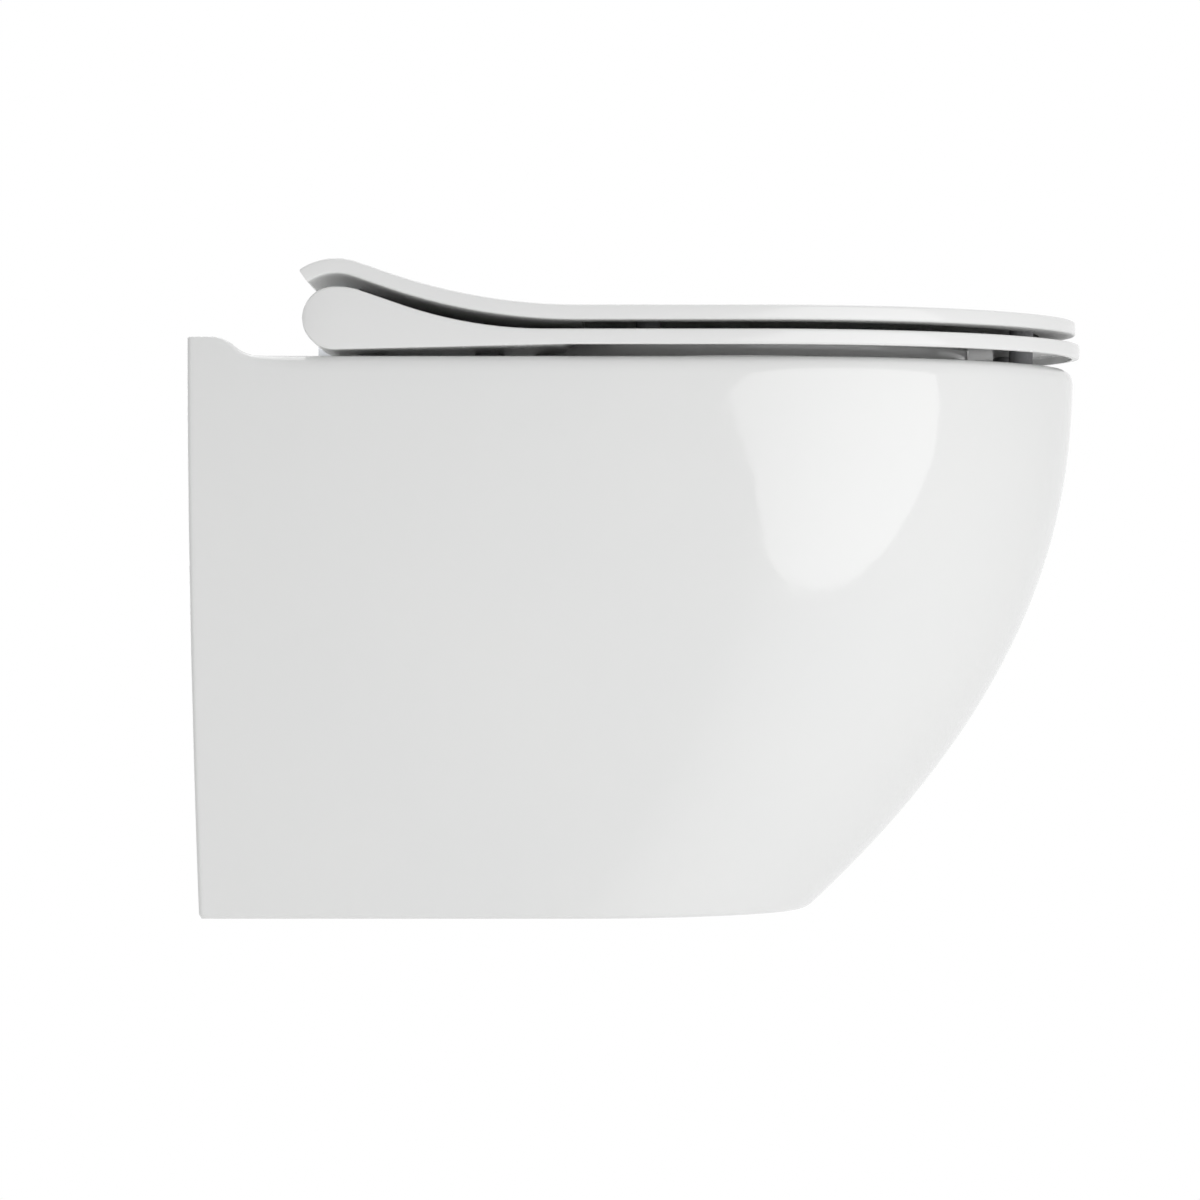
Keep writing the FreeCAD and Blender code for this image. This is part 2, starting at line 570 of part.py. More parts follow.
def lid_profile():
    far_y = -PAN_PROJECTION - BEYOND
    hump_y = AXIS_Y + HUMP_BEHIND_AXIS
    hump_z = AXIS_Z + HUMP_TOP_ABOVE_AXIS
    inner_radius = HUMP_RADIUS - LID_THICKNESS
    outer = ramp(hump_y, hump_z, HUMP_RADIUS, LID_SWEEP, LID_TOP, far_y)
    inner = ramp(hump_y, hump_z - LID_THICKNESS, inner_radius, LID_SWEEP + LID_THICKNESS,
                 LID_UNDER, far_y)
    centre_z = hump_z - HUMP_RADIUS
    end = 90 + TAIL_ANGLE
    outer.append(side_arc(hump_y, centre_z, HUMP_RADIUS, 90, end))
    inner.append(side_arc(hump_y, centre_z, inner_radius, 90, end))
    tail = line(on_circle(hump_y, centre_z, HUMP_RADIUS, end),
                on_circle(hump_y, centre_z, inner_radius, end))
    front = line(side_point(far_y, LID_UNDER), side_point(far_y, LID_TOP))
    return Part.Wire(Part.sortEdges(outer + [tail] + inner + [front])[0])


def lid_panel():
    half = PAN_WIDTH / 2 + LID_OVERHANG_SIDE
    reach = PAN_PROJECTION + LID_OVERHANG_FRONT
    slab = across(lid_profile(), -PAN_WIDTH, PAN_WIDTH)
    lid = slab.common(upright(plan(half, reach, FOOT_Z), PAN_HEIGHT + BEYOND))
    pocket = upright(plan(half - LID_LIP, reach - LID_LIP, SEAT_TOP), LID_TOP - LID_SKIN - SEAT_TOP)
    pocket = pocket.cut(box(-BEYOND, BEYOND, -RAMP_CLEAR - LID_POCKET_CLEAR, BEYOND,
                            DECK_Z, DECK_Z + BEYOND))
    web = box(-LID_BARREL_HALF, LID_BARREL_HALF, AXIS_Y - LID_WEB_THICKNESS / 2,
              AXIS_Y + LID_WEB_THICKNESS / 2, AXIS_Z, AXIS_Z + HUMP_TOP_ABOVE_AXIS - LID_THICKNESS / 2)
    barrel = hinge_rod(LID_BARREL_RADIUS, -LID_BARREL_HALF, LID_BARREL_HALF)
    damper = hinge_rod(DAMPER_RADIUS + RUNNING_CLEARANCE, -LID_BARREL_HALF - PAST,
                       -LID_BARREL_HALF + DAMPER_LENGTH + SEAT_CLEARANCE)
    bush = hinge_rod(BUSH_RADIUS + RUNNING_CLEARANCE, LID_BARREL_HALF + PAST,
                     LID_BARREL_HALF - BUSH_LENGTH - SEAT_CLEARANCE)
    return lid.cut(pocket).fuse([barrel, web]).cut([damper, bush])


def buffers(place, low, high, grow=0.0):
    """Two round rubber buffers, or with grow the sockets that they sit in."""
    across_x, from_wall = place
    return Part.makeCompound([rod(BUFFER_RADIUS + grow, V(side * across_x, -from_wall, low),
                                  V(side * across_x, -from_wall, high)) for side in (-1, 1)])


# --- hinges: pieces on the pan ------------------------------------------------------------------
def washer(low, high, bore):
    return post(low, high, BASE_RADIUS).cut(post(low - PAST, high + PAST, bore))


def hinge_gasket():
    return washer(DECK_Z, DECK_Z + GASKET_THICKNESS, BOLT_RADIUS + SEAT_CLEARANCE * 2)


def hinge_base():
    return washer(DECK_Z + GASKET_THICKNESS, BASE_TOP, BOLT_RADIUS + SEAT_CLEARANCE)


def hinge_stud():
    """Pin over the deck and bolt through it, in one turned piece."""
    groove_z = DECK_Z + GROOVE_ABOVE_DECK
    stud_top = DECK_Z + STUD_TOP_ABOVE_DECK
    pin = post(BASE_TOP, stud_top, STUD_RADIUS)
    pin = pin.makeChamfer(STUD_CHAMFER, [e for e in pin.Edges if e.BoundBox.ZMin > BASE_TOP + PAST])
    groove = post(groove_z, groove_z + GROOVE_WIDTH, STUD_RADIUS + PAST).cut(
        post(groove_z - PAST, groove_z + GROOVE_WIDTH + PAST, GROOVE_RADIUS))
    flange = post(BASE_TOP, BASE_TOP + STUD_FLANGE_THICKNESS, STUD_FLANGE_RADIUS)
    shank = post(DECK_Z - BOLT_LENGTH, BASE_TOP, BOLT_RADIUS)
    return pin.cut(groove).fuse([flange, shank]).removeSplitter()


def hinge_plug():
    """Rubber plug that swells under the deck when its nut is drawn up."""
    under = DECK_Z - DECK_WALL - SEAT_CLEARANCE
    end = DECK_Z - PLUG_LENGTH
    neck = post(under, DECK_Z, HINGE_HOLE_RADIUS - SEAT_CLEARANCE)
    swollen = post(end, under, HINGE_HOLE_RADIUS + PLUG_SWELL)
    rims = [e for e in swollen.Edges if e.BoundBox.ZLength < SEAT_CLEARANCE]
    bore = post(end - PAST, DECK_Z + PAST, BOLT_RADIUS + RUNNING_CLEARANCE)
    return swollen.makeChamfer(PLUG_CHAMFER, rims).fuse(neck).cut(bore)


def hinge_nut():
    high = DECK_Z - PLUG_LENGTH
    nut = prism(NUT_WIDTH / math.sqrt(3), 6, V(POST_X, AXIS_Y, high - NUT_THICKNESS), NUT_THICKNESS)
    return nut.cut(post(high - NUT_THICKNESS - PAST, high + PAST, BOLT_RADIUS + RUNNING_CLEARANCE))


# --- hinges: pieces that lift off with the seat -------------------------------------------------
def slot_height():
    """Lowest and highest level of the button's slot in the housing."""
    middle = DECK_Z + GROOVE_ABOVE_DECK + GROOVE_WIDTH / 2
    return middle - BUTTON_HEIGHT / 2, middle + BUTTON_HEIGHT / 2


def button_slot():
    """The button's way into the housing, with room for the clip behind its nose."""
    low, high = slot_height()
    half = BUTTON_WIDTH / 2 + SEAT_CLEARANCE
    return box(POST_X - half, POST_X + half, AXIS_Y - GROOVE_RADIUS - CLIP_WIRE - PAST,
               AXIS_Y + HOUSING_RADIUS + PAST, low - SEAT_CLEARANCE, high + SEAT_CLEARANCE)


def hinge_housing():
    low = BASE_TOP + SEAT_CLEARANCE
    flange_top = BASE_TOP + STUD_FLANGE_THICKNESS + SEAT_CLEARANCE
    stud_top = DECK_Z + STUD_TOP_ABOVE_DECK + SEAT_CLEARANCE
    barrel = hinge_rod(HOUSING_RADIUS, HOUSING_IN, HOUSING_OUT)
    barrel = barrel.cut(box(HOUSING_IN - PAST, HOUSING_OUT + PAST, AXIS_Y - BARREL_RADIUS,
                            AXIS_Y + BARREL_RADIUS, low - BARREL_RADIUS, low))
    foot = box(HOUSING_IN, HOUSING_OUT, AXIS_Y - HOUSING_FOOT, AXIS_Y + HOUSING_FOOT, low, AXIS_Z)
    holes = [button_slot(), post(low - PAST, stud_top, STUD_RADIUS + RUNNING_CLEARANCE),
             post(low - PAST, flange_top, STUD_FLANGE_RADIUS + SEAT_CLEARANCE),
             hinge_rod(PIN_RADIUS, HOUSING_IN - PAST, HOUSING_IN + PIN_SEAT_DEPTH),
             hinge_rod(PIN_RADIUS, HOUSING_OUT + PAST, HOUSING_OUT - PIN_SEAT_DEPTH)]
    return barrel.fuse(foot).removeSplitter().cut(holes)


def hinge_clip():
    """Square spring wire that straddles the stud's groove, open towards the button."""
    low = DECK_Z + GROOVE_ABOVE_DECK + GROOVE_WIDTH / 2 - CLIP_WIRE / 2
    high = low + CLIP_WIRE
    inner = GROOVE_RADIUS + RUNNING_CLEARANCE
    outer = inner + CLIP_WIRE
    end_y = AXIS_Y + STUD_RADIUS + BUTTON_TIP - SEAT_CLEARANCE
    loop = post(low, high, outer).fuse(box(POST_X - outer, POST_X + outer, AXIS_Y, end_y, low, high))
    gap = post(low - PAST, high + PAST, inner).fuse(
        box(POST_X - inner, POST_X + inner, AXIS_Y, end_y + PAST, low - PAST, high + PAST))
    return loop.cut(gap).removeSplitter()


def release_button():
    """A thumb pad with a blunt nose that spreads the clip."""
    low, high = slot_height()
    half = BUTTON_WIDTH / 2
    tip_y = AXIS_Y + STUD_RADIUS + BUTTON_TIP
    cheek_y = tip_y + BUTTON_NOSE
    out_y = AXIS_Y + HOUSING_RADIUS + BUTTON_PROUD
    shape = [(-half, out_y), (half, out_y), (half, cheek_y), (half / 2, tip_y), (-half / 2, tip_y),
             (-half, cheek_y)]
    button = upright(polygon([V(POST_X + x, y, low) for x, y in shape]), high - low)
    return button.makeChamfer(BUTTON_EDGE, [e for e in button.Edges if e.BoundBox.YMin > cheek_y + PAST])


def pin(start_x, end_x):
    return hinge_rod(PIN_RADIUS, start_x, end_x)


def sleeve(radius, start_x, end_x, bore_from, bore_to):
    """A round piece on the hinge line with a bore for a pin."""
    bore = hinge_rod(PIN_RADIUS + RUNNING_CLEARANCE, bore_from, bore_to)
    return hinge_rod(radius, start_x, end_x).cut(bore)


# --- wall fixing and flushing pieces ------------------------------------------------------------
def wall_clamp():
    middle = STUD_SPACING / 2
    clamp = box(middle - CLAMP_WIDTH / 2, middle + CLAMP_WIDTH / 2, -CLAMP_LENGTH, 0,
                -CLAMP_HEIGHT / 2, CLAMP_HEIGHT / 2)
    clamp = clamp.makeChamfer(CLAMP_CORNER, [e for e in clamp.Edges if e.BoundBox.YLength > CLAMP_HEIGHT])
    stud = rod(STUD_HOLE_RADIUS, V(middle, PAST, 0), V(middle, -STUD_HOLE_DEPTH, 0))
    screw = post(-CLAMP_HEIGHT, CLAMP_HEIGHT, CLAMP_SCREW_RADIUS + RUNNING_CLEARANCE)
    return clamp.cut([stud, screw])


def clamp_screw():
    low = -CLAMP_HEIGHT / 2 - CLAMP_CLEARANCE + SEAT_CLEARANCE
    high = low + CLAMP_SCREW_LENGTH
    hexagon = V(POST_X, AXIS_Y, high - CLAMP_SCREW_HEX_DEPTH)
    return post(low, high, CLAMP_SCREW_RADIUS).cut(
        prism(CLAMP_SCREW_HEX, 6, hexagon, CLAMP_SCREW_HEX_DEPTH + PAST))


def inlet_rod(radius, near_y, far_y):
    return rod(radius, V(0, near_y, INLET_Z), V(0, far_y, INLET_Z))


def flush_inlet_seal():
    outer = inlet_rod(INLET_RADIUS - SEAT_CLEARANCE / 2, -PAST, SEAT_CLEARANCE - INLET_DEPTH)
    return outer.cut(inlet_rod(FLUSH_PIPE_RADIUS, PAST, -INLET_DEPTH - PAST))


def flush_distributor():
    """Plastic insert that splits the flush to both sides of the bowl and down its rear wall."""
    face_y = -BOWL_REAR - DISTRIBUTOR_STANDS
    back_y = face_y - DISTRIBUTOR_DEPTH
    neck_y = face_y + DISTRIBUTOR_NECK
    half = DISTRIBUTOR_WIDTH / 2
    low, high = INLET_Z - DISTRIBUTOR_HEIGHT / 2, INLET_Z + DISTRIBUTOR_HEIGHT / 2
    head = box(-half, half, back_y, face_y, low, high)
    head = head.makeChamfer(DISTRIBUTOR_CORNER, [e for e in head.Edges if e.BoundBox.YMax < back_y + PAST
                                                 and e.BoundBox.ZLength > DISTRIBUTOR_DEPTH])
    neck = inlet_rod(FLUSH_WAY_RADIUS - SEAT_CLEARANCE, neck_y, face_y - PAST)
    jet_back, jet_front = back_y + DISTRIBUTOR_WALL, face_y - DISTRIBUTOR_WALL
    ways = [inlet_rod(FLUSH_WAY_RADIUS - DISTRIBUTOR_WALL, neck_y + PAST, jet_front),
            box(-half - PAST, half + PAST, jet_back, jet_front,
                low + DISTRIBUTOR_EDGE, high - DISTRIBUTOR_EDGE),
            box(-DOWN_JET_WIDTH / 2, DOWN_JET_WIDTH / 2, jet_back, jet_front, low - PAST, INLET_Z)]
    return head.fuse(neck).cut(ways)


# --- run ----------------------------------------------------------------------------------------
def main():
    os.makedirs("parts", exist_ok=True)
    save("ceramic_pan", ceramic_pan())
    save("flush_inlet_seal", flush_inlet_seal())
    save("flush_distributor", flush_distributor())
    makers = {"wall_clamp": wall_clamp, "clamp_screw": clamp_screw, "hinge_gasket": hinge_gasket,
              "hinge_base": hinge_base, "hinge_stud": hinge_stud, "hinge_plug": hinge_plug,
              "hinge_nut": hinge_nut, "hinge_housing": hinge_housing, "hinge_clip": hinge_clip,
              "release_button": release_button}
    for name, make in makers.items():
        for side, shape in pair(make).items():
            save(f"{name}_{side}", shape)
    save("seat_ring", seat_ring())
    save("lid_panel", lid_panel())
    seat_damper_end, seat_bush_end = KNUCKLE_IN + DAMPER_LENGTH, -KNUCKLE_IN - BUSH_LENGTH
    save("seat_damper", sleeve(DAMPER_RADIUS, KNUCKLE_IN + SEAT_CLEARANCE, seat_damper_end,
                               KNUCKLE_IN, KNUCKLE_IN + DAMPER_SHAFT_DEPTH))
    save("seat_damper_shaft", pin(HOUSING_OUT - PIN_SEAT_DEPTH,
                                  KNUCKLE_IN + DAMPER_SHAFT_DEPTH - SEAT_CLEARANCE))
    save("seat_bush", sleeve(BUSH_RADIUS, -KNUCKLE_IN - SEAT_CLEARANCE, seat_bush_end,
                             -KNUCKLE_IN, seat_bush_end - PAST))
    save("seat_pin", pin(PIN_SEAT_DEPTH - HOUSING_OUT, seat_bush_end + SEAT_CLEARANCE))
    lid_damper_end, lid_bush_end = DAMPER_LENGTH - LID_BARREL_HALF, LID_BARREL_HALF - BUSH_LENGTH
    save("lid_damper", sleeve(DAMPER_RADIUS, SEAT_CLEARANCE - LID_BARREL_HALF, lid_damper_end,
                              -LID_BARREL_HALF, DAMPER_SHAFT_DEPTH - LID_BARREL_HALF))
    save("lid_damper_shaft", pin(-HOUSING_IN - PIN_SEAT_DEPTH,
                                 DAMPER_SHAFT_DEPTH - LID_BARREL_HALF - SEAT_CLEARANCE))
    save("lid_bush", sleeve(BUSH_RADIUS, LID_BARREL_HALF - SEAT_CLEARANCE, lid_bush_end,
                            LID_BARREL_HALF, lid_bush_end - PAST))
    save("lid_pin", pin(HOUSING_IN + PIN_SEAT_DEPTH, lid_bush_end + SEAT_CLEARANCE))
    save("seat_buffers_front", buffers(SEAT_BUFFER_FRONT, DECK_Z + SEAT_CLEARANCE, SEAT_TOP - SEAT_SKIN))
    save("seat_buffers_rear", buffers(SEAT_BUFFER_REAR, DECK_Z + SEAT_CLEARANCE,
                                      SEAT_UNDER + SEAT_BUFFER_DEPTH))
    for name, place in (("front", LID_BUFFER_FRONT), ("rear", LID_BUFFER_REAR)):
        save(f"lid_buffers_{name}", buffers(place, SEAT_TOP + SEAT_CLEARANCE, LID_TOP - LID_SKIN))


main()
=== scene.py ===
# %% [markdown]
# # A wall hung toilet, dressed over its frame
# The frame holds every piece at its real size. This notebook gives the pieces that show their
# finished surface: a fired and glazed pan, a thin seat and lid of moulded plastic, and the metal
# and rubber of the hinges. Lengths are in millimetres until a mesh is made.

# %% Load the frame
import json
import math

import bmesh
import bpy
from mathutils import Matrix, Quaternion, Vector

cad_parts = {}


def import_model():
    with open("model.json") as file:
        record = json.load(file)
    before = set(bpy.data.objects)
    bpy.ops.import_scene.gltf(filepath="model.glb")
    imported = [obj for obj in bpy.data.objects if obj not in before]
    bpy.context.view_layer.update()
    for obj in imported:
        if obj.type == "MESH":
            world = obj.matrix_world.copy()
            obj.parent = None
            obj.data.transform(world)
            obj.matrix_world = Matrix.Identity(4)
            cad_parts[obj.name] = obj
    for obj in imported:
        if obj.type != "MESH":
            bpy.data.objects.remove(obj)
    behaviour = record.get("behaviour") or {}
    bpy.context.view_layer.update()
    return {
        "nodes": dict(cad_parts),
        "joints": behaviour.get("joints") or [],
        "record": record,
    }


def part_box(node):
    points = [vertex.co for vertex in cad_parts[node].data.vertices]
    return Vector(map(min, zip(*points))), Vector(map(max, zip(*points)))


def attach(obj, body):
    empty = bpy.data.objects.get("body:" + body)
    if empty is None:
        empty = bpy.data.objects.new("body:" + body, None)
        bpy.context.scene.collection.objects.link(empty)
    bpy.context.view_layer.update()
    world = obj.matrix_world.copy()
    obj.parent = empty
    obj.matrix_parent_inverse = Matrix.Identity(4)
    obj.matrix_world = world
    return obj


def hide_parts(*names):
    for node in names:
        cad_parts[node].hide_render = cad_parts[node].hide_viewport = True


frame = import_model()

MM = 0.001

# %% [markdown]
# ## Sizes from the frame
# A piece that stands for a solid must stay where that solid is. So the overall sizes are read
# from the solids' corners, and only what the corners can't tell is written down here.

# %% Read the sizes
pan_low, pan_high = (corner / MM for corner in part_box("ceramic_pan"))
seat_low, seat_high = (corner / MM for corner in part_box("seat_ring"))
lid_low, lid_high = (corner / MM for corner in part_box("lid_panel"))
hinge = {joint["name"]: joint for joint in frame["joints"]}["seat_hinge"]
AXIS_Y, AXIS_Z = (value / MM for value in hinge["pos_m"][1:])

RIDGE_Z = pan_high.z              # top of the ridge at the wall
RIDGE_RISE = 10.5
RIDGE_FLAT = 12.0                 # depth of its flat top
RIDGE_RUN = 27.0                  # length of the curve down to the deck
DECK_Z = RIDGE_Z - RIDGE_RISE
FOOT_Z = pan_low.z
RIM_REACH = -pan_low.y            # wall to the front of the rim
RIM_HALF = round(pan_high.x)
RIM_NOSE = 196.0                  # length of the rim's rounded front
FOOT_REACH = 359.0
FOOT_HALF = 104.0
FOOT_NOSE = 140.0
FRONT_SWELL = 2.2                 # how early the front bulges out over the foot
SIDE_SWELL = 1.8
TIP_POWER = 1.85                  # roundness of the nose at its tip, 2 is an ellipse
SIDE_POWER = 1.95                 # and where it runs into the sides
print(f"pan {2 * RIM_HALF:.0f} wide, {RIM_REACH:.0f} deep, {DECK_Z - FOOT_Z:.1f} high to its deck")

# %% [markdown]
# ## Meshes made of rings
# The pan, the seat and the lid are all skins that run round one upright line. Each is a stack of
# rings with the same number of points, and neighbouring rings are joined by four-sided faces.
# That keeps the surface even, which matters on a glossy piece: a reflection shows every dent.

# %% Join rings into a skin
def shade(piece, crease=40.0):
    """Smooth shading, apart from edges that are sharper than the crease angle."""
    for face in piece.data.polygons:
        face.use_smooth = True
    piece.data.set_sharp_from_angle(angle=math.radians(crease))
    return piece


def in_scene(name, data):
    """A new object that shows a mesh, a light or a camera."""
    made = bpy.data.objects.new(name, data)
    bpy.context.scene.collection.objects.link(made)
    return made


def as_mesh(name, built):
    mesh = bpy.data.meshes.new(name)
    built.to_mesh(mesh)
    built.free()
    return mesh


def as_piece(name, built, crease=40.0):
    """A bmesh in millimetres becomes an object in metres with its faces outwards."""
    bmesh.ops.remove_doubles(built, verts=built.verts, dist=0.002)
    bmesh.ops.recalc_face_normals(built, faces=built.faces)
    bmesh.ops.scale(built, vec=(MM, MM, MM), verts=built.verts)
    return shade(in_scene(name, as_mesh(name, built)), crease)


def skin(name, rings, closed=False, crease=40.0):
    """Rings joined in order; a closed skin ends where it starts, any other is capped."""
    built = bmesh.new()
    rows = [[built.verts.new(point) for point in ring] for ring in rings]
    count = len(rows[0])
    following = rows[1:] + rows[:1] if closed else rows[1:]
    for row, after in zip(rows, following):
        for i in range(count):
            j = (i + 1) % count
            built.faces.new((row[i], row[j], after[j], after[i]))
    if not closed:
        for row in (rows[0], rows[-1]):
            pole = built.verts.new(sum((v.co for v in row), Vector()) / count)
            for i in range(count):
                built.faces.new((row[i], row[(i + 1) % count], pole))
    return as_piece(name, built, crease)


def ramp_up(value, low, high):
    """0 below low, 1 above high, and a smooth rise between them."""
    share = min(1.0, max(0.0, (value - low) / (high - low)))
    return share * share * (3 - 2 * share)


def quarter_turn(steps):
    """The angles of a quarter circle, both ends included."""
    return [math.radians(90.0 * i / steps) for i in range(steps + 1)]


print("one unit is", MM, "m")

# %% [markdown]
# ## Stations round a D
# Seen from above the pan, seat and lid are the same D: straight at the wall, straight sides and
# a rounded front. A station is one place on that D, told in shares, so that the same stations
# serve a wide ring at the rim and a narrow one at the foot. They lie close together near the
# wall, where the deck curves up, and at the two corners.

# %% Stations
CORNER = 2.5                      # rounding of the upright edges at the wall
NEAR_WALL = [0, 2, 5, 8, 10.5, 13, 15, 17.5, 20, 22.5, 25, 27.5, 30, 32.5, 35, 37.5, 40, 44, 50,
             57, 65, 75, 87, 100, 115, 132, 150, 170, 190, 212, 235, 258, 280, 302]
REAR_STEPS, CORNER_STEPS, NOSE_STEPS = 12, 5, 34
WIDEST = RIM_REACH - RIM_NOSE     # wall to where the rounded front begins


def nose_point(turn):
    """A share across and a share forward on the front's curve, which is nearly an ellipse."""
    return math.cos(turn) ** (2 / TIP_POWER), math.sin(turn) ** (2 / SIDE_POWER)


def nose_stations():
    points = [nose_point(turn) for turn in quarter_turn(NOSE_STEPS)]
    return [(across, 1 + forward, 0.0, 0.0) for across, forward in points]


def pan_stations():
    """Rear middle to tip along the right side: share across, share forward, and offsets."""
    found = [(i / REAR_STEPS, 0.0, CORNER * i / REAR_STEPS, 0.0) for i in range(REAR_STEPS)]
    for turn in quarter_turn(CORNER_STEPS)[:-1]:
        found.append((1.0, 0.0, CORNER * (1 - math.sin(turn)), CORNER * (1 - math.cos(turn))))
    for distance in NEAR_WALL:
        share = distance / WIDEST
        found.append((1.0, share, 0.0, CORNER * (1 - share)))
    return found + nose_stations()


def sharp_stations(rear, rear_steps, distances):
    """The same for a D with sharp rear corners, which starts at rear and not at the wall."""
    found = [(i / rear_steps, 0.0, 0.0, 0.0) for i in range(rear_steps)]
    found += [(1.0, distance / (WIDEST - rear), 0.0, 0.0) for distance in distances]
    return found + nose_stations()


STATIONS = pan_stations()


def whole(half_ring):
    """A right half ring and its mirror image, as one ring."""
    return half_ring + [(-x, y, z) for x, y, z in reversed(half_ring[1:-1])]


def place(station, half, reach, nose, rear=0.0):
    """Where a station lies on a D of that half width, reach and nose length."""
    across, forward, off_x, off_y = station
    side = rear + min(forward, 1.0) * (reach - nose - rear)
    return across * half - off_x, -(side + max(forward - 1.0, 0.0) * nose) - off_y


def turns_round(stations, points):
    """Each station's turn round an egg: -90 at the rear middle, 0 at the sides, 90 at the tip."""
    run = [0.0]
    for a, b in zip(points, points[1:]):
        run.append(run[-1] + math.dist(a, b))
    widest = len(stations) - NOSE_STEPS - 1
    rear = [-90.0 * (1 - run[i] / run[widest]) for i in range(widest)]
    return rear + [90.0 * i / NOSE_STEPS for i in range(NOSE_STEPS + 1)]


print(len(STATIONS), "stations on each side")

# %% [markdown]
# ## The pan's outside
# A potter's plaster mould gives the pan its shape: a narrow foot that swells into the rim, late
# at first and then fast. One rule holds it: a share of the height, raised to a power. The edges
# are rolled by hand before firing, so the rim has a 10 mm round that dies out towards the wall.

# %% Outside rings
FOOT_ROUND = 3.5
RIM_ROUND = 10.0
WALL_ROUND = 1.5                  # top edge where the rim's round has died out
ROUND_STARTS, ROUND_FULL = 16.0, 60.0
ROUND_POWER = 2.5                 # a rolled edge is a little squarer than a circle
FOOT_INSETS = (70.0, 35.0, 12.0)  # rings that lie flat on the underside
FOOT_ROWS, WALL_ROWS, ROUND_ROWS = 6, 30, 12


def swelling(low, high, share, power):
    return low + (high - low) * (1 - max(0.0, 1 - share) ** power)


def pan_sizes(z):
    share = (z - FOOT_Z) / (DECK_Z - FOOT_Z)
    return (swelling(FOOT_HALF, RIM_HALF, share, SIDE_SWELL),
            swelling(FOOT_REACH, RIM_REACH, share, FRONT_SWELL),
            swelling(FOOT_NOSE, RIM_NOSE, share, FRONT_SWELL))


def pan_point(station, z, inset=0.0, rear=0.0):
    half, reach, nose = pan_sizes(z)
    x, y = place(station, half - inset * min(1.0, station[0]), reach - inset, nose - inset, rear)
    return x, y, z


def deck_level(y):
    """The deck's height: flat, then two equal arcs up to the ridge at the wall."""
    radius = (RIDGE_RUN ** 2 + RIDGE_RISE ** 2) / (4 * RIDGE_RISE)
    along = -y - RIDGE_FLAT
    if along <= 0:
        return RIDGE_Z
    if along < RIDGE_RUN / 2:
        return RIDGE_Z - radius + math.sqrt(radius ** 2 - along ** 2)
    left = max(0.0, RIDGE_RUN - along)
    return DECK_Z + radius - math.sqrt(radius ** 2 - left ** 2)


def rim_round(y):
    return WALL_ROUND + (RIM_ROUND - WALL_ROUND) * ramp_up(-y, ROUND_STARTS, ROUND_FULL)


def pan_ring(z, inset, rear):
    return [pan_point(station, z, inset, rear) for station in STATIONS]


def outside_rings():
    rings = [pan_ring(FOOT_Z, inset, inset) for inset in FOOT_INSETS]
    for turn in quarter_turn(FOOT_ROWS):
        inset = FOOT_ROUND * (1 - math.sin(turn))
        rings.append(pan_ring(FOOT_Z + FOOT_ROUND * (1 - math.cos(turn)), inset, min(inset, 1.0)))
    low = FOOT_Z + FOOT_ROUND
    levels = [pan_point(station, DECK_Z)[1] for station in STATIONS]
    highs = [deck_level(y) - rim_round(y) for y in levels]
    for i in range(1, WALL_ROWS):
        rings.append([pan_point(station, low + (high - low) * i / WALL_ROWS)
                      for station, high in zip(STATIONS, highs)])
    for turn in quarter_turn(ROUND_ROWS):
        inwards = 1 - math.cos(turn) ** (2 / ROUND_POWER)
        below = 1 - math.sin(turn) ** (2 / ROUND_POWER)
        ring = []
        for station, y in zip(STATIONS, levels):
            x, new_y, _ = pan_point(station, DECK_Z, rim_round(y) * inwards, WALL_ROUND * inwards)
            ring.append((x, new_y, deck_level(y) - rim_round(y) * below))
        rings.append(ring)
    return rings


print(len(outside_rings()), "rings from the underside to the deck")

# %% [markdown]
# ## The bowl
# Inside, the rim turns over a soft lip and falls to the sump, steeply at the rear and flatter at
# the front. The same stations run on, so the deck is a clean blend between the D of the rim and
# the egg of the bowl, and the whole glazed surface is one mesh with no seam in it.

# %% Deck and bowl rings
RIM_WIDTH = 42.0
BOWL_REAR = 195.0                 # wall to the rear of the bowl's mouth
BOWL_REAR_POWER = 2.5
BOWL_DEPTH = 282.0
SUMP_FRONT, SUMP_REAR, SUMP_HALF = 332.0, 252.0, 30.0
SUMP_MIDDLE = SUMP_FRONT / 2 + SUMP_REAR / 2
FRONT_FALL, SIDE_FALL, REAR_FALL = 1.9, 2.2, 1.6
LIP = 5.0
LIP_ROWS, BOWL_ROWS = 7, 30
SUMP_FLOOR = ((0.95, 1.0), (0.8, 0.2), (0.4, 0.0))   # share of the width, and lift
DECK_ROWS = [2, 5, 8, 10.5, 13, 15, 17.5, 20, 22.5, 25, 27.5, 30, 32.5, 35, 37.5, 40, 43, 47, 53,
             61, 71, 83, 97, 113, 130, 147, 163, 176]


TURNS = turns_round(STATIONS, [pan_point(station, DECK_Z)[:2] for station in STATIONS])


def bowl_point(turn, share, grow, z):
    """A point of the bowl's wall; share runs from 0 at the deck to 1 at the sump's floor."""
    front = RIM_REACH - RIM_WIDTH
    front -= (front - SUMP_FRONT) * share ** FRONT_FALL
    rear = BOWL_REAR + (SUMP_REAR - BOWL_REAR) * share ** REAR_FALL
    half = RIM_HALF - RIM_WIDTH
    half -= (half - SUMP_HALF) * share ** SIDE_FALL
    wide = WIDEST + (SUMP_MIDDLE - WIDEST) * share
    angle = math.radians(abs(turn))
    if turn >= 0:
        across, forward = nose_point(angle)
        return (half + grow) * across, -wide - (front + grow - wide) * forward, z
    across, back = (side(angle) ** (2 / BOWL_REAR_POWER) for side in (math.cos, math.sin))
    return (half + grow) * across, -wide + (wide - rear + grow) * back, z


def bowl_ring(share, grow=0.0):
    return [bowl_point(turn, share, grow, DECK_Z - BOWL_DEPTH * share) for turn in TURNS]


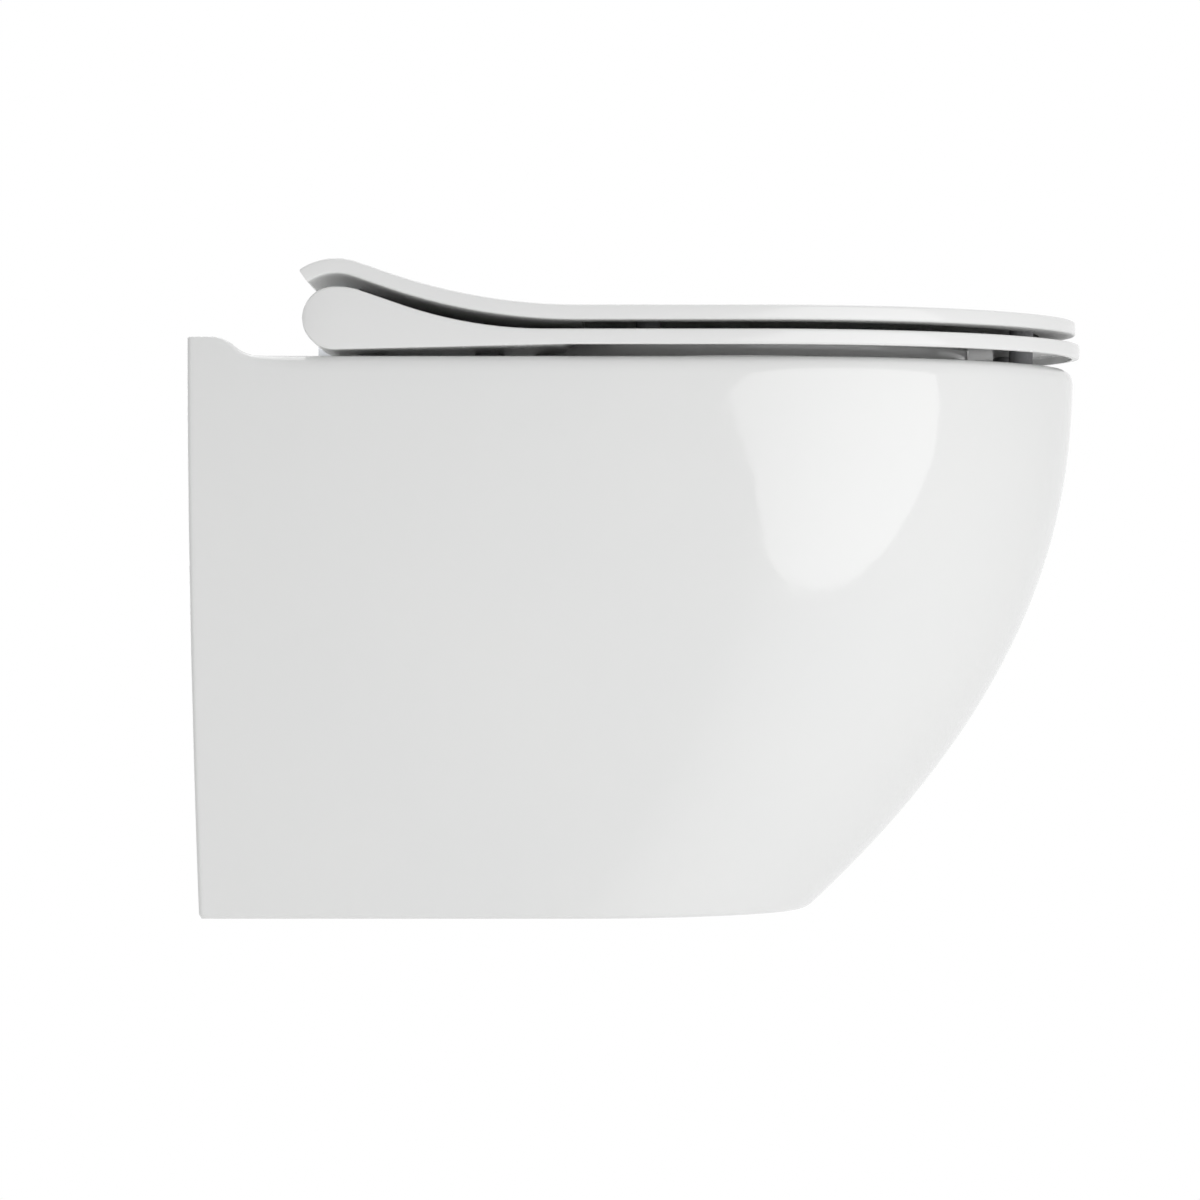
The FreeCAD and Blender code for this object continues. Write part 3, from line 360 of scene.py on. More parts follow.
def lip_rings():
    rings = []
    for turn in quarter_turn(LIP_ROWS):
        drop, grow = LIP * (1 - math.cos(turn)), LIP * (1 - math.sin(turn))
        rings.append([bowl_point(t, drop / BOWL_DEPTH, grow, DECK_Z - drop) for t in TURNS])
    return rings


def deck_rings(outer, inner):
    """Between the rim's round and the bowl's lip, at the deck's level all over."""
    rings = []
    for row in DECK_ROWS:
        share = row / (BOWL_REAR - LIP)
        ring = []
        for a, b in zip(outer, inner):
            x, y = (a[k] + (b[k] - a[k]) * share for k in (0, 1))
            ring.append((x, y, deck_level(y)))
        rings.append(ring)
    return rings


def glazed_body():
    outside, lip = outside_rings(), lip_rings()
    first = LIP / BOWL_DEPTH
    bowl = [bowl_ring(first + (1 - first) * i / BOWL_ROWS) for i in range(1, BOWL_ROWS)]
    floor_z = DECK_Z - BOWL_DEPTH
    for share, lift in SUMP_FLOOR:
        bowl.append([(x * share, (y + SUMP_MIDDLE) * share - SUMP_MIDDLE, floor_z + lift)
                     for x, y, _ in bowl_ring(1.0)])
    halves = outside + deck_rings(outside[-1], lip[0]) + lip + bowl
    return skin("glazed_pan", [whole(ring) for ring in halves])


glazed_pan = glazed_body()
print("glazed pan:", len(glazed_pan.data.polygons), "faces")

# %% [markdown]
# ## The hollow behind
# The pan is cast as a shell. Seen from the wall side it is open: there are the water trap that
# climbs behind the bowl and falls to the outlet, the inlet for the flush pipe, and two square
# channels on a shelf that take the wall clamps. These are simple solids, so they are made one by
# one and taken out of the body, or left standing in its hollow, with Boolean modifiers.

# %% Tubes, blocks and Booleans
SHELL = 12.0
DECK_WALL = 13.0
BOWL_WALL = 11.0
TRAP_RADIUS, TRAP_WALL = 36.0, 9.0
OUTLET_Z = -100.0
SPIGOT_RADIUS, SPIGOT_LENGTH = 51.0, 60.0
INLET_Z = 35.0
INLET_RADIUS, INLET_DEPTH, INLET_WALL = 27.5, 46.0, 9.0
FLUSH_RADIUS, FLUSH_WALL = 17.0, 8.0
TRAP_DIP, TRAP_CREST_Y, TRAP_CREST_Z = -166.0, -178.0, -15.0
TRAP_RISE, TRAP_FALL, TRAP_BEND = 62.0, 38.0, 52.0
CHANNEL_X, CHANNEL_HALF_WIDTH, CHANNEL_HALF_HEIGHT = 90.0, 22.5, 18.5
CHANNEL_WALL, CHANNEL_LENGTH = 10.0, 104.0
CHANNEL_ROUND = 2.0
SHELF_HALF, SHELF_DEPTH = 5.5, 100.0
HINGE_X, HINGE_HOLE = 77.5, 8.0
HOLLOW_ROWS, HOLLOW_PAST, BACK_ROWS = 14, 20.0, 24
PAST, SHY = 5.0, 0.01            # how far a tool passes the wall plane, or stops short of it
WELD = 0.001


def tube(name, points, radius, sides=48):
    """A round solid along a line of points that lies in one upright plane."""
    points = [Vector(p) for p in points]
    rings = []
    for i, point in enumerate(points):
        ahead = (points[min(i + 1, len(points) - 1)] - points[max(i - 1, 0)]).normalized()
        flat = Vector((1, 0, 0)) if abs(ahead.x) < 0.5 else Vector((0, 1, 0))
        across = ahead.cross(flat).normalized()
        up = across.cross(ahead).normalized()
        turns = [2 * math.pi * k / sides for k in range(sides)]
        rings.append([point + across * (radius * math.cos(t)) + up * (radius * math.sin(t))
                      for t in turns])
    return skin(name, rings)


def block(name, low, high, round_off=0.0):
    built = bmesh.new()
    bmesh.ops.create_cube(built, size=1.0)
    for vertex in built.verts:
        vertex.co = [low[k] + (high[k] - low[k]) * (vertex.co[k] + 0.5) for k in range(3)]
    if round_off:
        bmesh.ops.bevel(built, geom=built.edges[:], offset=round_off, segments=3, profile=0.5,
                        affect="EDGES")
    return as_piece(name, built)


def rounded(corners, radius):
    """A line of points with its corners rounded off, in the plane X = 0."""
    corners = [Vector((0, *c)) for c in corners]
    line = [corners[0]]
    for before, corner, after in zip(corners, corners[1:], corners[2:]):
        back, ahead = (before - corner).normalized(), (after - corner).normalized()
        half = back.angle(ahead) / 2
        centre = corner + (back + ahead).normalized() * (radius / math.sin(half))
        start = corner + back * (radius / math.tan(half)) - centre
        end = corner + ahead * (radius / math.tan(half)) - centre
        turn, axle = start.angle(end), start.cross(end)
        line += [centre + Quaternion(axle, turn * i / 12) @ start for i in range(13)]
    return line + [corners[-1]]


def trap_line(end_y):
    climb = TRAP_CREST_Z - TRAP_DIP
    drop = TRAP_CREST_Z - OUTLET_Z
    dip_y = TRAP_CREST_Y - climb / math.tan(math.radians(TRAP_RISE))
    level_y = TRAP_CREST_Y + drop / math.tan(math.radians(TRAP_FALL))
    corners = [(-SUMP_MIDDLE, TRAP_DIP), (dip_y, TRAP_DIP), (TRAP_CREST_Y, TRAP_CREST_Z),
               (level_y, OUTLET_Z), (end_y, OUTLET_Z)]
    return rounded(corners, TRAP_BEND)


def cut(piece, tools):
    """Take the tools out of the piece, one after another, and throw them away."""
    for tool in tools:
        modifier = piece.modifiers.new("cut", "BOOLEAN")
        modifier.operation = "DIFFERENCE"
        modifier.object = tool
        modifier.solver = "EXACT"
        finished(piece)
        bpy.data.objects.remove(tool)
    return piece


def finished(piece):
    """Give the piece the mesh that its modifiers make of it, and take them off."""
    graph = bpy.context.evaluated_depsgraph_get()
    mesh = bpy.data.meshes.new_from_object(piece.evaluated_get(graph))
    piece.modifiers.clear()
    piece.data = mesh
    return piece


def welded(piece):
    """Close what the cuts left open: edges of a micrometre and slits with three or four sides."""
    built = bmesh.new()
    built.from_mesh(piece.data)
    bmesh.ops.remove_doubles(built, verts=built.verts, dist=WELD * MM)
    bmesh.ops.dissolve_degenerate(built, dist=WELD * MM, edges=built.edges)
    bmesh.ops.holes_fill(built, edges=[edge for edge in built.edges if edge.is_boundary], sides=4)
    built.to_mesh(piece.data)
    built.free()
    return shade(piece)


print("tools: tube, block, cut")

# %% [markdown]
# The hollow itself is a stack of the same rings, one wall's thickness inside. What has to stand
# in it is taken out of the hollow first, and the hollow is then taken out of the body.

# %% Open the pan's back
def hollow():
    low, high = FOOT_Z + SHELL, DECK_Z - DECK_WALL
    levels = [low + (high - low) * i / HOLLOW_ROWS for i in range(HOLLOW_ROWS + 1)]
    return skin("hollow", [whole(pan_ring(z, SHELL, -HOLLOW_PAST)) for z in levels])


def waterways(grow):
    """The trap, inlet and flush way; with grow they are as thick as their walls."""
    past = PAST if grow == 0 else -SHY
    ways = [tube("trap", trap_line(past), TRAP_RADIUS + TRAP_WALL * grow),
            tube("inlet", [(0, past, INLET_Z), (0, -INLET_DEPTH - INLET_WALL * grow, INLET_Z)],
                 INLET_RADIUS + INLET_WALL * grow),
            tube("flush", [(0, -5, INLET_Z), (0, -BOWL_REAR - 2 - 18 * (1 - grow), INLET_Z)],
                 FLUSH_RADIUS + FLUSH_WALL * grow)]
    for side in (-1, 1):
        half = CHANNEL_HALF_WIDTH + CHANNEL_WALL * grow
        high = CHANNEL_HALF_HEIGHT + CHANNEL_WALL * grow
        low = (side * CHANNEL_X - half, -CHANNEL_LENGTH - CHANNEL_WALL * grow, -high)
        ways.append(block("channel", low, (side * CHANNEL_X + half, past, high), CHANNEL_ROUND))
    return ways


def bowl_back():
    """The outside of the bowl's own wall, from above the deck to under the sump."""
    rows = [bowl_ring(i / BACK_ROWS, BOWL_WALL) for i in range(BACK_ROWS + 1)]
    rows[0] = [(x, y, DECK_Z + 1) for x, y, _ in rows[0]]
    rows.append([(x, y, z - BOWL_WALL) for x, y, z in bowl_ring(1.0, BOWL_WALL - 4)])
    return skin("bowl_back", [whole(row) for row in rows])


standing = waterways(1)
spigot = [(0, -SHY, OUTLET_Z), (0, -SPIGOT_LENGTH, OUTLET_Z)]
standing.append(tube("spigot", spigot, SPIGOT_RADIUS))
shelf = (-RIM_HALF, -SHELF_DEPTH, -SHELF_HALF), (RIM_HALF, -SHY, SHELF_HALF)
standing.append(block("shelf", *shelf))
standing.append(bowl_back())
cavity = cut(hollow(), standing)
open_ways = waterways(0)
for side in (-1, 1):
    hole = [(side * HINGE_X, AXIS_Y, DECK_Z + 5), (side * HINGE_X, AXIS_Y, DECK_Z - 60)]
    open_ways.append(tube("hinge_hole", hole, HINGE_HOLE))
cut(glazed_pan, [cavity])
cut(glazed_pan, open_ways)
welded(glazed_pan)
print("glazed pan with its back open:", len(glazed_pan.data.polygons), "faces")

# %% [markdown]
# ## The seat
# The seat is one moulding: a flat ring with a shallow recess under it, which rises on a ramp to
# two round knuckles at the hinge. Its section changes all the way round, but at each distance
# from the wall the top and the underside have one height. Two short functions of that distance
# give those heights, and a closed skin of rings follows them.

# %% Heights of the seat
SEAT_UNDER = DECK_Z + 6.2
SEAT_TOP = SEAT_UNDER + 8.8
SEAT_HALF = round(seat_high.x * 2) / 2
SEAT_REACH = -seat_low.y
SEAT_NOSE = SEAT_REACH - (RIM_REACH - RIM_NOSE)
BARREL = 17.8
SEAT_REAR = -(AXIS_Y + BARREL)    # wall to the back of the knuckles
SLOPE = math.radians(19.0)
SEAT_SWEEP, SEAT_SHOULDER = 250.0, 35.0
SHOULDER_Y = AXIS_Y - 3.0
UNDER_FLAT_Y = -212.0
SEAT_ROUND = 1.6
SEAT_LIP, SEAT_POCKET = 4.5, 4.8
DRIP_BEAD = 3.2                   # how far the opening's edge hangs down, to keep water in
OPEN_HALF, OPEN_FRONT, OPEN_REAR = SEAT_HALF - 66.0, SEAT_REACH - 72.0, 186.0
OPEN_FRONT_POWER, OPEN_REAR_POWER = 2.0, 2.4
RELIEF_X, RELIEF_Y = 93.0, AXIS_Y - BARREL - 0.8
DAMPER_BORE, BUSH_BORE = 8.05, 6.05


def seat_top(y):
    if y > AXIS_Y:
        return AXIS_Z + math.sqrt(max(0.0, BARREL ** 2 - (y - AXIS_Y) ** 2))
    top = AXIS_Z + BARREL
    shoulder = SHOULDER_Y - y
    if shoulder <= 0:
        return top
    if shoulder < SEAT_SHOULDER * math.sin(SLOPE):
        return top - SEAT_SHOULDER + math.sqrt(SEAT_SHOULDER ** 2 - shoulder ** 2)
    ramp_y = SHOULDER_Y - SEAT_SHOULDER * math.sin(SLOPE)
    ramp_z = top - SEAT_SHOULDER * (1 - math.cos(SLOPE))
    foot_z = SEAT_TOP + SEAT_SWEEP * (1 - math.cos(SLOPE))
    foot_y = ramp_y - (ramp_z - foot_z) / math.tan(SLOPE)
    if y > foot_y:
        return ramp_z - (ramp_y - y) * math.tan(SLOPE)
    sweep_y = foot_y - SEAT_SWEEP * math.sin(SLOPE)
    along = max(0.0, y - sweep_y)
    return SEAT_TOP + SEAT_SWEEP - math.sqrt(SEAT_SWEEP ** 2 - along ** 2)


def seat_under(y):
    run = math.hypot(UNDER_FLAT_Y - AXIS_Y, AXIS_Z - SEAT_UNDER)
    fall = math.atan2(AXIS_Z - SEAT_UNDER, AXIS_Y - UNDER_FLAT_Y)
    turn = math.acos(BARREL / run) + fall
    touch_y = AXIS_Y - BARREL * math.cos(turn)
    touch_z = AXIS_Z - BARREL * math.sin(turn)
    if y > touch_y:
        return AXIS_Z - math.sqrt(max(0.0, BARREL ** 2 - (y - AXIS_Y) ** 2))
    if y > UNDER_FLAT_Y:
        return SEAT_UNDER + (touch_z - SEAT_UNDER) * (y - UNDER_FLAT_Y) / (touch_y - UNDER_FLAT_Y)
    return SEAT_UNDER


print(f"seat {SEAT_TOP - SEAT_UNDER:.1f} thick at the front and {2 * BARREL:.1f} at the hinge")

# %% [markdown]
# At each height one ring runs round the whole seat. In order they make its top, the edge of the
# opening, the recess underneath and the outer edge, so the last ring meets the first.

# %% Rings of the seat
SEAT_REAR_STEPS = 16
SEAT_SIDE = [BARREL * (1 - math.cos(math.radians(a))) for a in range(0, 91, 10)]
SEAT_SIDE += [BARREL + step for step in (
    3, 6, 9, 12, 15, 18, 22, 26, 31, 36, 42, 48, 55, 62, 70, 78, 86, 94, 102, 110, 118, 125, 129,
    133, 138, 146, 157, 170, 185, 200, 220)]
SEAT_ROWS = [0.4, 1.2, 2.4, 4, 6, 8.5, 11, 14, 17, 20, 24, 28, 32, 37, 42, 48, 54, 61, 68, 76, 84,
             92, 100, 108, 114]
EDGE_TURNS = [math.radians(a) for a in (0, 22, 45, 67, 90)]
SEAT_STATIONS = sharp_stations(SEAT_REAR, SEAT_REAR_STEPS, SEAT_SIDE)


def edge_insets(radius):
    """How far the rings that round an edge lie inside it, from the edge inwards."""
    return [radius * (1 - math.cos(turn)) for turn in EDGE_TURNS]


def round_drop(distance, radius):
    """How far a rounded edge lies under its plane at a distance from the edge."""
    left = max(0.0, radius - distance)
    return radius - math.sqrt(radius ** 2 - left ** 2)


def seat_outer(inset):
    return [place(station, SEAT_HALF - inset, SEAT_REACH - inset, SEAT_NOSE - inset, SEAT_REAR + inset)
            for station in SEAT_STATIONS]


SEAT_TURNS = turns_round(SEAT_STATIONS, seat_outer(0.0))


def seat_opening(grow):
    wide = (OPEN_FRONT + OPEN_REAR) / 2
    points = []
    for turn in SEAT_TURNS:
        angle = math.radians(abs(turn))
        power = OPEN_FRONT_POWER if turn >= 0 else OPEN_REAR_POWER
        length = (OPEN_FRONT - wide if turn >= 0 else wide - OPEN_REAR) + grow
        points.append(((OPEN_HALF + grow) * math.cos(angle) ** (2 / power),
                       -wide - math.copysign(length, turn) * math.sin(angle) ** (2 / power)))
    return points


def seat_edge(inset, upper):
    """The outer edge, round but for the rear, where the knuckles are round already."""
    ring = []
    for station, (x, y) in zip(SEAT_STATIONS, seat_outer(inset)):
        at_rear = station[1] == 0 and station[0] < 1
        drop = 0.0 if at_rear else round_drop(inset, SEAT_ROUND)
        middle = (seat_top(y) + seat_under(y)) / 2
        z = max(middle, seat_top(y) - drop) if upper else min(middle, seat_under(y) + drop)
        ring.append((x, y, z))
    return ring


def across_seat(inset):
    """Rows from the outer edge to the opening."""
    for row in SEAT_ROWS:
        share = row / (OPEN_REAR - SEAT_REAR)
        yield [(a[0] + (b[0] - a[0]) * share, a[1] + (b[1] - a[1]) * share)
               for a, b in zip(seat_outer(inset), seat_opening(inset))]


def bead(y):
    return seat_under(y) - DRIP_BEAD * ramp_up(-y, OPEN_REAR + 4, OPEN_REAR + 30)


def recessed(share):
    """The underside's level with that share of the recess, which ends before the hinge."""
    def level(y):
        return seat_under(y) + share * SEAT_POCKET * ramp_up(-y, 1 - UNDER_FLAT_Y, 6 - UNDER_FLAT_Y)
    return level


def at_level(points, level, lift=0.0):
    return [(x, y, level(y) + lift) for x, y in points]


def seat_body():
    insets = edge_insets(SEAT_ROUND)
    walls = ((1.0, SEAT_LIP + 0.9), (0.85, SEAT_LIP + 0.1), (0.0, SEAT_LIP))
    rings = [seat_edge(inset, True) for inset in insets]
    rings += [at_level(points, seat_top) for points in across_seat(SEAT_ROUND)]
    rings += [at_level(seat_opening(grow), seat_top, -round_drop(grow, SEAT_ROUND))
              for grow in reversed(insets)]
    rings += [at_level(seat_opening(grow), bead, round_drop(grow, SEAT_ROUND)) for grow in insets]
    rings.append(at_level(seat_opening(SEAT_LIP - 1.0), bead))
    rings += [at_level(seat_opening(inset), recessed(share)) for share, inset in reversed(walls)]
    rings += [at_level(points, lambda y: min(recessed(1.0)(y), seat_top(y)))
              for points in reversed(list(across_seat(SEAT_LIP + 0.9)))]
    rings += [at_level(seat_outer(inset), recessed(share)) for share, inset in walls]
    rings += [seat_edge(inset, False) for inset in reversed(insets)]
    return skin("seat", [whole(ring) for ring in rings], closed=True, crease=50.0)


seat = seat_body()
relief = block("relief", (-RELIEF_X, RELIEF_Y, DECK_Z - 20), (RELIEF_X, 0, DECK_Z + 80))
bores = []
for x, end, radius in ((RELIEF_X - 1, RELIEF_X + 52.3, DAMPER_BORE),
                       (1 - RELIEF_X, -RELIEF_X - 24.3, BUSH_BORE)):
    bores.append(tube("bore", [(x, AXIS_Y, AXIS_Z), (end, AXIS_Y, AXIS_Z)], radius))
cut(seat, [relief])
cut(seat, bores)
welded(seat)
print("seat:", len(seat.data.polygons), "faces")

# %% [markdown]
# ## Finishes
# Glaze, moulded plastic, chrome, turned steel, cast zinc and rubber all differ in small things: a
# slow waviness, a fine grain, and places where a hand or water has dulled the gloss. Those three
# are node groups, built once. Each finish places them with its own sizes, so that a change to one
# effect reaches every finish that has it.

# %% Nodes and numbers on wires
class Wire:
    """One number on its way through a node tree; arithmetic on it adds Math nodes."""

    def __init__(self, tree, socket):
        self.tree, self.socket = tree, socket

    def math(self, operation, *others):
        node = add(self.tree, "ShaderNodeMath", dict(enumerate((self, *others))))
        node.operation = operation
        return Wire(self.tree, node.outputs[0])

    def __add__(self, other):
        return self.math("ADD", other)

    def __sub__(self, other):
        return self.math("SUBTRACT", other)

    def __mul__(self, other):
        return self.math("MULTIPLY", other)

    def __truediv__(self, other):
        return self.math("DIVIDE", other)


def add(tree, kind, inputs=(), group=None, **named):
    """A node of that kind, with each input set to its value or joined to its socket or Wire."""
    node = tree.nodes.new(kind)
    if group is not None:
        node.node_tree = group
    for label, value in {**dict(inputs), **named}.items():
        value = value.socket if isinstance(value, Wire) else value
        if isinstance(value, bpy.types.NodeSocket):
            tree.links.new(value, node.inputs[label])
        else:
            node.inputs[label].default_value = value
    return node


def new_tree(name, inputs, output="Geometry", kind="GeometryNodeTree"):
    """An empty node group with one output; an input is told by its default, or by its type."""
    tree = bpy.data.node_groups.new(name, kind)
    for label, value in inputs.items():
        typed = value if isinstance(value, str) else "Float"
        made = tree.interface.new_socket(label, in_out="INPUT", socket_type="NodeSocket" + typed)
        if typed == "Float":
            made.default_value = value
    tree.interface.new_socket(output, in_out="OUTPUT", socket_type="NodeSocket" + output)
    start, end = tree.nodes.new("NodeGroupInput"), tree.nodes.new("NodeGroupOutput")
    return tree, start.outputs, end.inputs


def wires(tree, given, *labels):
    return [Wire(tree, given[label]) for label in labels]


print("arithmetic and nodes are ready")

# %% [markdown]
# Each effect is a group with a scale and its own one or two sizes. It reads the object's own
# coordinates, so a pattern keeps its place on a piece that moves.

# %% Groups for the effects
def effect(name, inputs, build):
    """A shader group that reads its pattern from the object's own coordinates."""
    tree, given, result = new_tree(name, inputs, "Float", "ShaderNodeTree")
    where = tree.nodes.new("ShaderNodeTexCoord").outputs["Object"]
    tree.links.new(build(tree, given, where), result[0])
    return tree


def noise(tree, where, scale, detail, roughness=0.5):
    return add(tree, "ShaderNodeTexNoise", Vector=where, Scale=scale, Detail=detail,
               Roughness=roughness).outputs["Fac"]


def spread(tree, value, low, high, to_low, to_high):
    """Stretch a band of values and clamp it."""
    return add(tree, "ShaderNodeMapRange", {
        "Value": value, "From Min": low, "From Max": high, "To Min": to_low, "To Max": to_high}).outputs[0]


def waviness(tree, given, where):
    return noise(tree, where, given["Scale"], 2.0, 0.45)


def speckle(tree, given, where):
    """Round spots round the middles of a few random cells."""
    cells = add(tree, "ShaderNodeTexVoronoi", Vector=where, Scale=given["Scale"], Randomness=1.0)
    chosen = add(tree, "ShaderNodeSeparateColor", {0: cells.outputs["Color"]})
    few = Wire(tree, chosen.outputs[0]).math("LESS_THAN", given["Share"])
    spot = Wire(tree, cells.outputs["Distance"]).math("LESS_THAN", given["Size"])
    return (few * spot).socket


def dulling(tree, given, where):
    """Where hands and water have been: broad clouds broken up by a finer one."""
    broad = Wire(tree, noise(tree, where, given["Scale"], 4.0, 0.6))
    fine = Wire(tree, noise(tree, where, Wire(tree, given["Scale"]) * 7.0, 3.0))
    return spread(tree, broad * 0.7 + fine * 0.3, 0.35, 0.65, given["Gloss"], given["Dull"])


EFFECTS = {
    "waviness": effect("waviness", {"Scale": 10.0}, waviness),
    "speckle": effect("speckle", {"Scale": 10.0, "Share": 0.1, "Size": 0.2}, speckle),
    "dulling": effect("dulling", {"Scale": 10.0, "Gloss": 0.1, "Dull": 0.2}, dulling),
}
print("effects:", ", ".join(EFFECTS))

# %% [markdown]
# A finish is one glossy shader whose constants sit on its own sockets, and whose colour,
# roughness and bump come from the effects. The seat's hidden faces and the pan's bare rear edge
# carry a mark on each face, which adds to their roughness.

# %% Finishes
def linear(colour):
    """A colour picked as it shows on a screen, as the light that makes it."""
    return [c / 12.92 if c <= 0.04045 else ((c + 0.055) / 1.055) ** 2.4 for c in colour]


class Finish:
    """A material with one glossy shader, whose colour, roughness and bump come from the effects."""

    def __init__(self, name, **constants):
        self.material = bpy.data.materials.new(name)
        self.material.use_nodes = True
        self.tree = self.material.node_tree
        self.shader = self.tree.nodes["Principled BSDF"]
        for label, value in constants.items():
            self.shader.inputs[label].default_value = value

    def effect(self, name, **sizes):
        return add(self.tree, "ShaderNodeGroup", sizes, EFFECTS[name]).outputs[0]

    def colour(self, mask, first, second, over=None):
        """Mix from first to second by a mask; over takes an earlier mix in place of first."""
        mix = add(self.tree, "ShaderNodeMix", {
            0: mask, 6: over or (*linear(first), 1.0), 7: (*linear(second), 1.0)})
        mix.data_type = "RGBA"
        self.tree.links.new(mix.outputs[2], self.shader.inputs["Base Color"])
        return mix.outputs[2]

    def roughness(self, value, marked=None, more=0.0):
        """Set the roughness, with more of it on faces that carry a mark."""
        if marked is not None:
            mask = self.tree.nodes.new("ShaderNodeAttribute")
            mask.attribute_name = marked
            value = (Wire(self.tree, value) + Wire(self.tree, mask.outputs["Fac"]) * more).socket
        self.tree.links.new(value, self.shader.inputs["Roughness"])

    def bump(self, height, depth, over=None):
        below = {} if over is None else {"Normal": over}
        node = add(self.tree, "ShaderNodeBump", below, Strength=1.0, Distance=depth, Height=height)
        self.tree.links.new(node.outputs[0], self.shader.inputs["Normal"])
        return node.outputs[0]


UNDERSIDE, SATIN = "underside", 0.4
UNGLAZED, BISQUE = "unglazed", 0.6


def glaze():
    """Opaque white glaze: thick, wavy over the hand, with a rare pinhole or dark speck."""
    made = Finish("glazed_ceramic", IOR=1.54)
    body = made.colour(made.effect("waviness", Scale=9.0), (0.950, 0.951, 0.947), (0.938, 0.941, 0.940))
    specks = made.effect("speckle", Scale=55.0, Share=0.03, Size=0.03)
    made.colour(specks, (1, 1, 1), (0.80, 0.79, 0.76), body)
    made.roughness(made.effect("dulling", Scale=14.0, Gloss=0.045, Dull=0.085), UNGLAZED, BISQUE)
    slow = made.bump(made.effect("waviness", Scale=26.0), 0.00035)
    made.bump(made.effect("waviness", Scale=420.0), 0.000006, slow)
    return made.material


def moulded_seat():
    """Pressed thermoset: glossy where it was polished, satin on the faces that the pan hides."""
    made = Finish("duroplast", IOR=1.5)
    made.colour(made.effect("waviness", Scale=6.0), (0.955, 0.956, 0.953), (0.948, 0.949, 0.948))
    made.roughness(made.effect("dulling", Scale=18.0, Gloss=0.10, Dull=0.16), UNDERSIDE, SATIN)
    slow = made.bump(made.effect("waviness", Scale=30.0), 0.00012)
    made.bump(made.effect("waviness", Scale=900.0), 0.000004, slow)
    return made.material


def plain(name, light, dark, clouds, patches, grain, depth, gloss, dull, bloom=False, **constants):
    """Two near colours in clouds, a dulled gloss in patches and a fine grain; rubber has a bloom."""
    made = Finish(name, **constants)
    body = made.colour(made.effect("waviness", Scale=clouds), light, dark)
    if bloom:
        made.colour(made.effect("speckle", Scale=900.0, Share=0.25, Size=0.35), (1, 1, 1), light, body)
    made.roughness(made.effect("dulling", Scale=patches, Gloss=gloss, Dull=dull))
    made.bump(made.effect("waviness", Scale=grain), depth)
    return made.material


MOULDED = {"clouds": 60.0, "patches": 90.0, "grain": 3500.0, "depth": 0.00002, "gloss": 0.38,
           "dull": 0.5, "IOR": 1.47}
RUBBER = {"clouds": 120.0, "patches": 150.0, "grain": 2600.0, "depth": 0.00003, "gloss": 0.62,
          "dull": 0.82, "bloom": True, "IOR": 1.45}
METAL = {"clouds": 45.0, "patches": 110.0, "Metallic": 1.0}
FINISHES = {"glazed_ceramic": glaze(), "duroplast": moulded_seat()}
for name, family, light, dark in (
        ("white_plastic", MOULDED, (0.93, 0.93, 0.92), (0.90, 0.90, 0.89)),
        ("grey_plastic", MOULDED, (0.58, 0.59, 0.61), (0.52, 0.53, 0.55)),
        ("soft_rubber", RUBBER, (0.56, 0.56, 0.57), (0.50, 0.50, 0.51)),
        ("black_rubber", RUBBER, (0.16, 0.16, 0.16), (0.11, 0.11, 0.11))):
    FINISHES[name] = plain(name, light, dark, **family)
for name, light, dark, gloss, dull, grain, depth in (
        ("cast_zinc", (0.70, 0.71, 0.72), (0.60, 0.61, 0.63), 0.35, 0.55, 1500.0, 0.00006),
        ("plated_steel", (0.82, 0.83, 0.85), (0.76, 0.78, 0.80), 0.2, 0.34, 2400.0, 0.000012),
        ("stainless_steel", (0.83, 0.82, 0.81), (0.78, 0.78, 0.77), 0.18, 0.3, 3000.0, 0.00001),
        ("spring_steel", (0.72, 0.73, 0.75), (0.62, 0.63, 0.66), 0.22, 0.36, 2400.0, 0.00001),
        ("chromed_zinc", (0.90, 0.91, 0.92), (0.87, 0.88, 0.90), 0.05, 0.11, 700.0, 0.000004)):
    FINISHES[name] = plain(name, light, dark, gloss=gloss, dull=dull, grain=grain, depth=depth, **METAL)
for row in frame["record"]["subparts"]:
    solid = frame["nodes"][row["node"]]
    solid.data.materials.clear()
    solid.data.materials.append(FINISHES[row["material_slot"]])

# %% [markdown]
# ## The lid
# The lid is a flat D-shaped plate that is bent twice: up a gentle ramp, and then over the hinge
# like the edge of a tray. Bending is a rule, so Geometry Nodes do it. One node group turns
# everything behind a line about a long axis, and the tree uses it twice, with its own radius and
# angle each time. The plate stays flat and easy to draw, and the curve can be set by its sizes.

# %% A group that bends a plate
LID_UNDER = SEAT_TOP + 5.2
LID_THICKNESS = 8.5
LID_TOP = LID_UNDER + LID_THICKNESS
LID_HALF = round(lid_high.x * 2) / 2
LID_REACH = -lid_low.y
LID_NOSE = LID_REACH - (RIM_REACH - RIM_NOSE)
LID_SWEEP = 330.0
HUMP_RADIUS = 37.0
HUMP_Y, HUMP_TOP = AXIS_Y - 1.5, AXIS_Z + 33.9
TAIL_TURN = 35.0
LID_ROUND = 1.5
LID_LIP, LID_POCKET = 22.0, 4.0
POCKET_REAR = 224.0


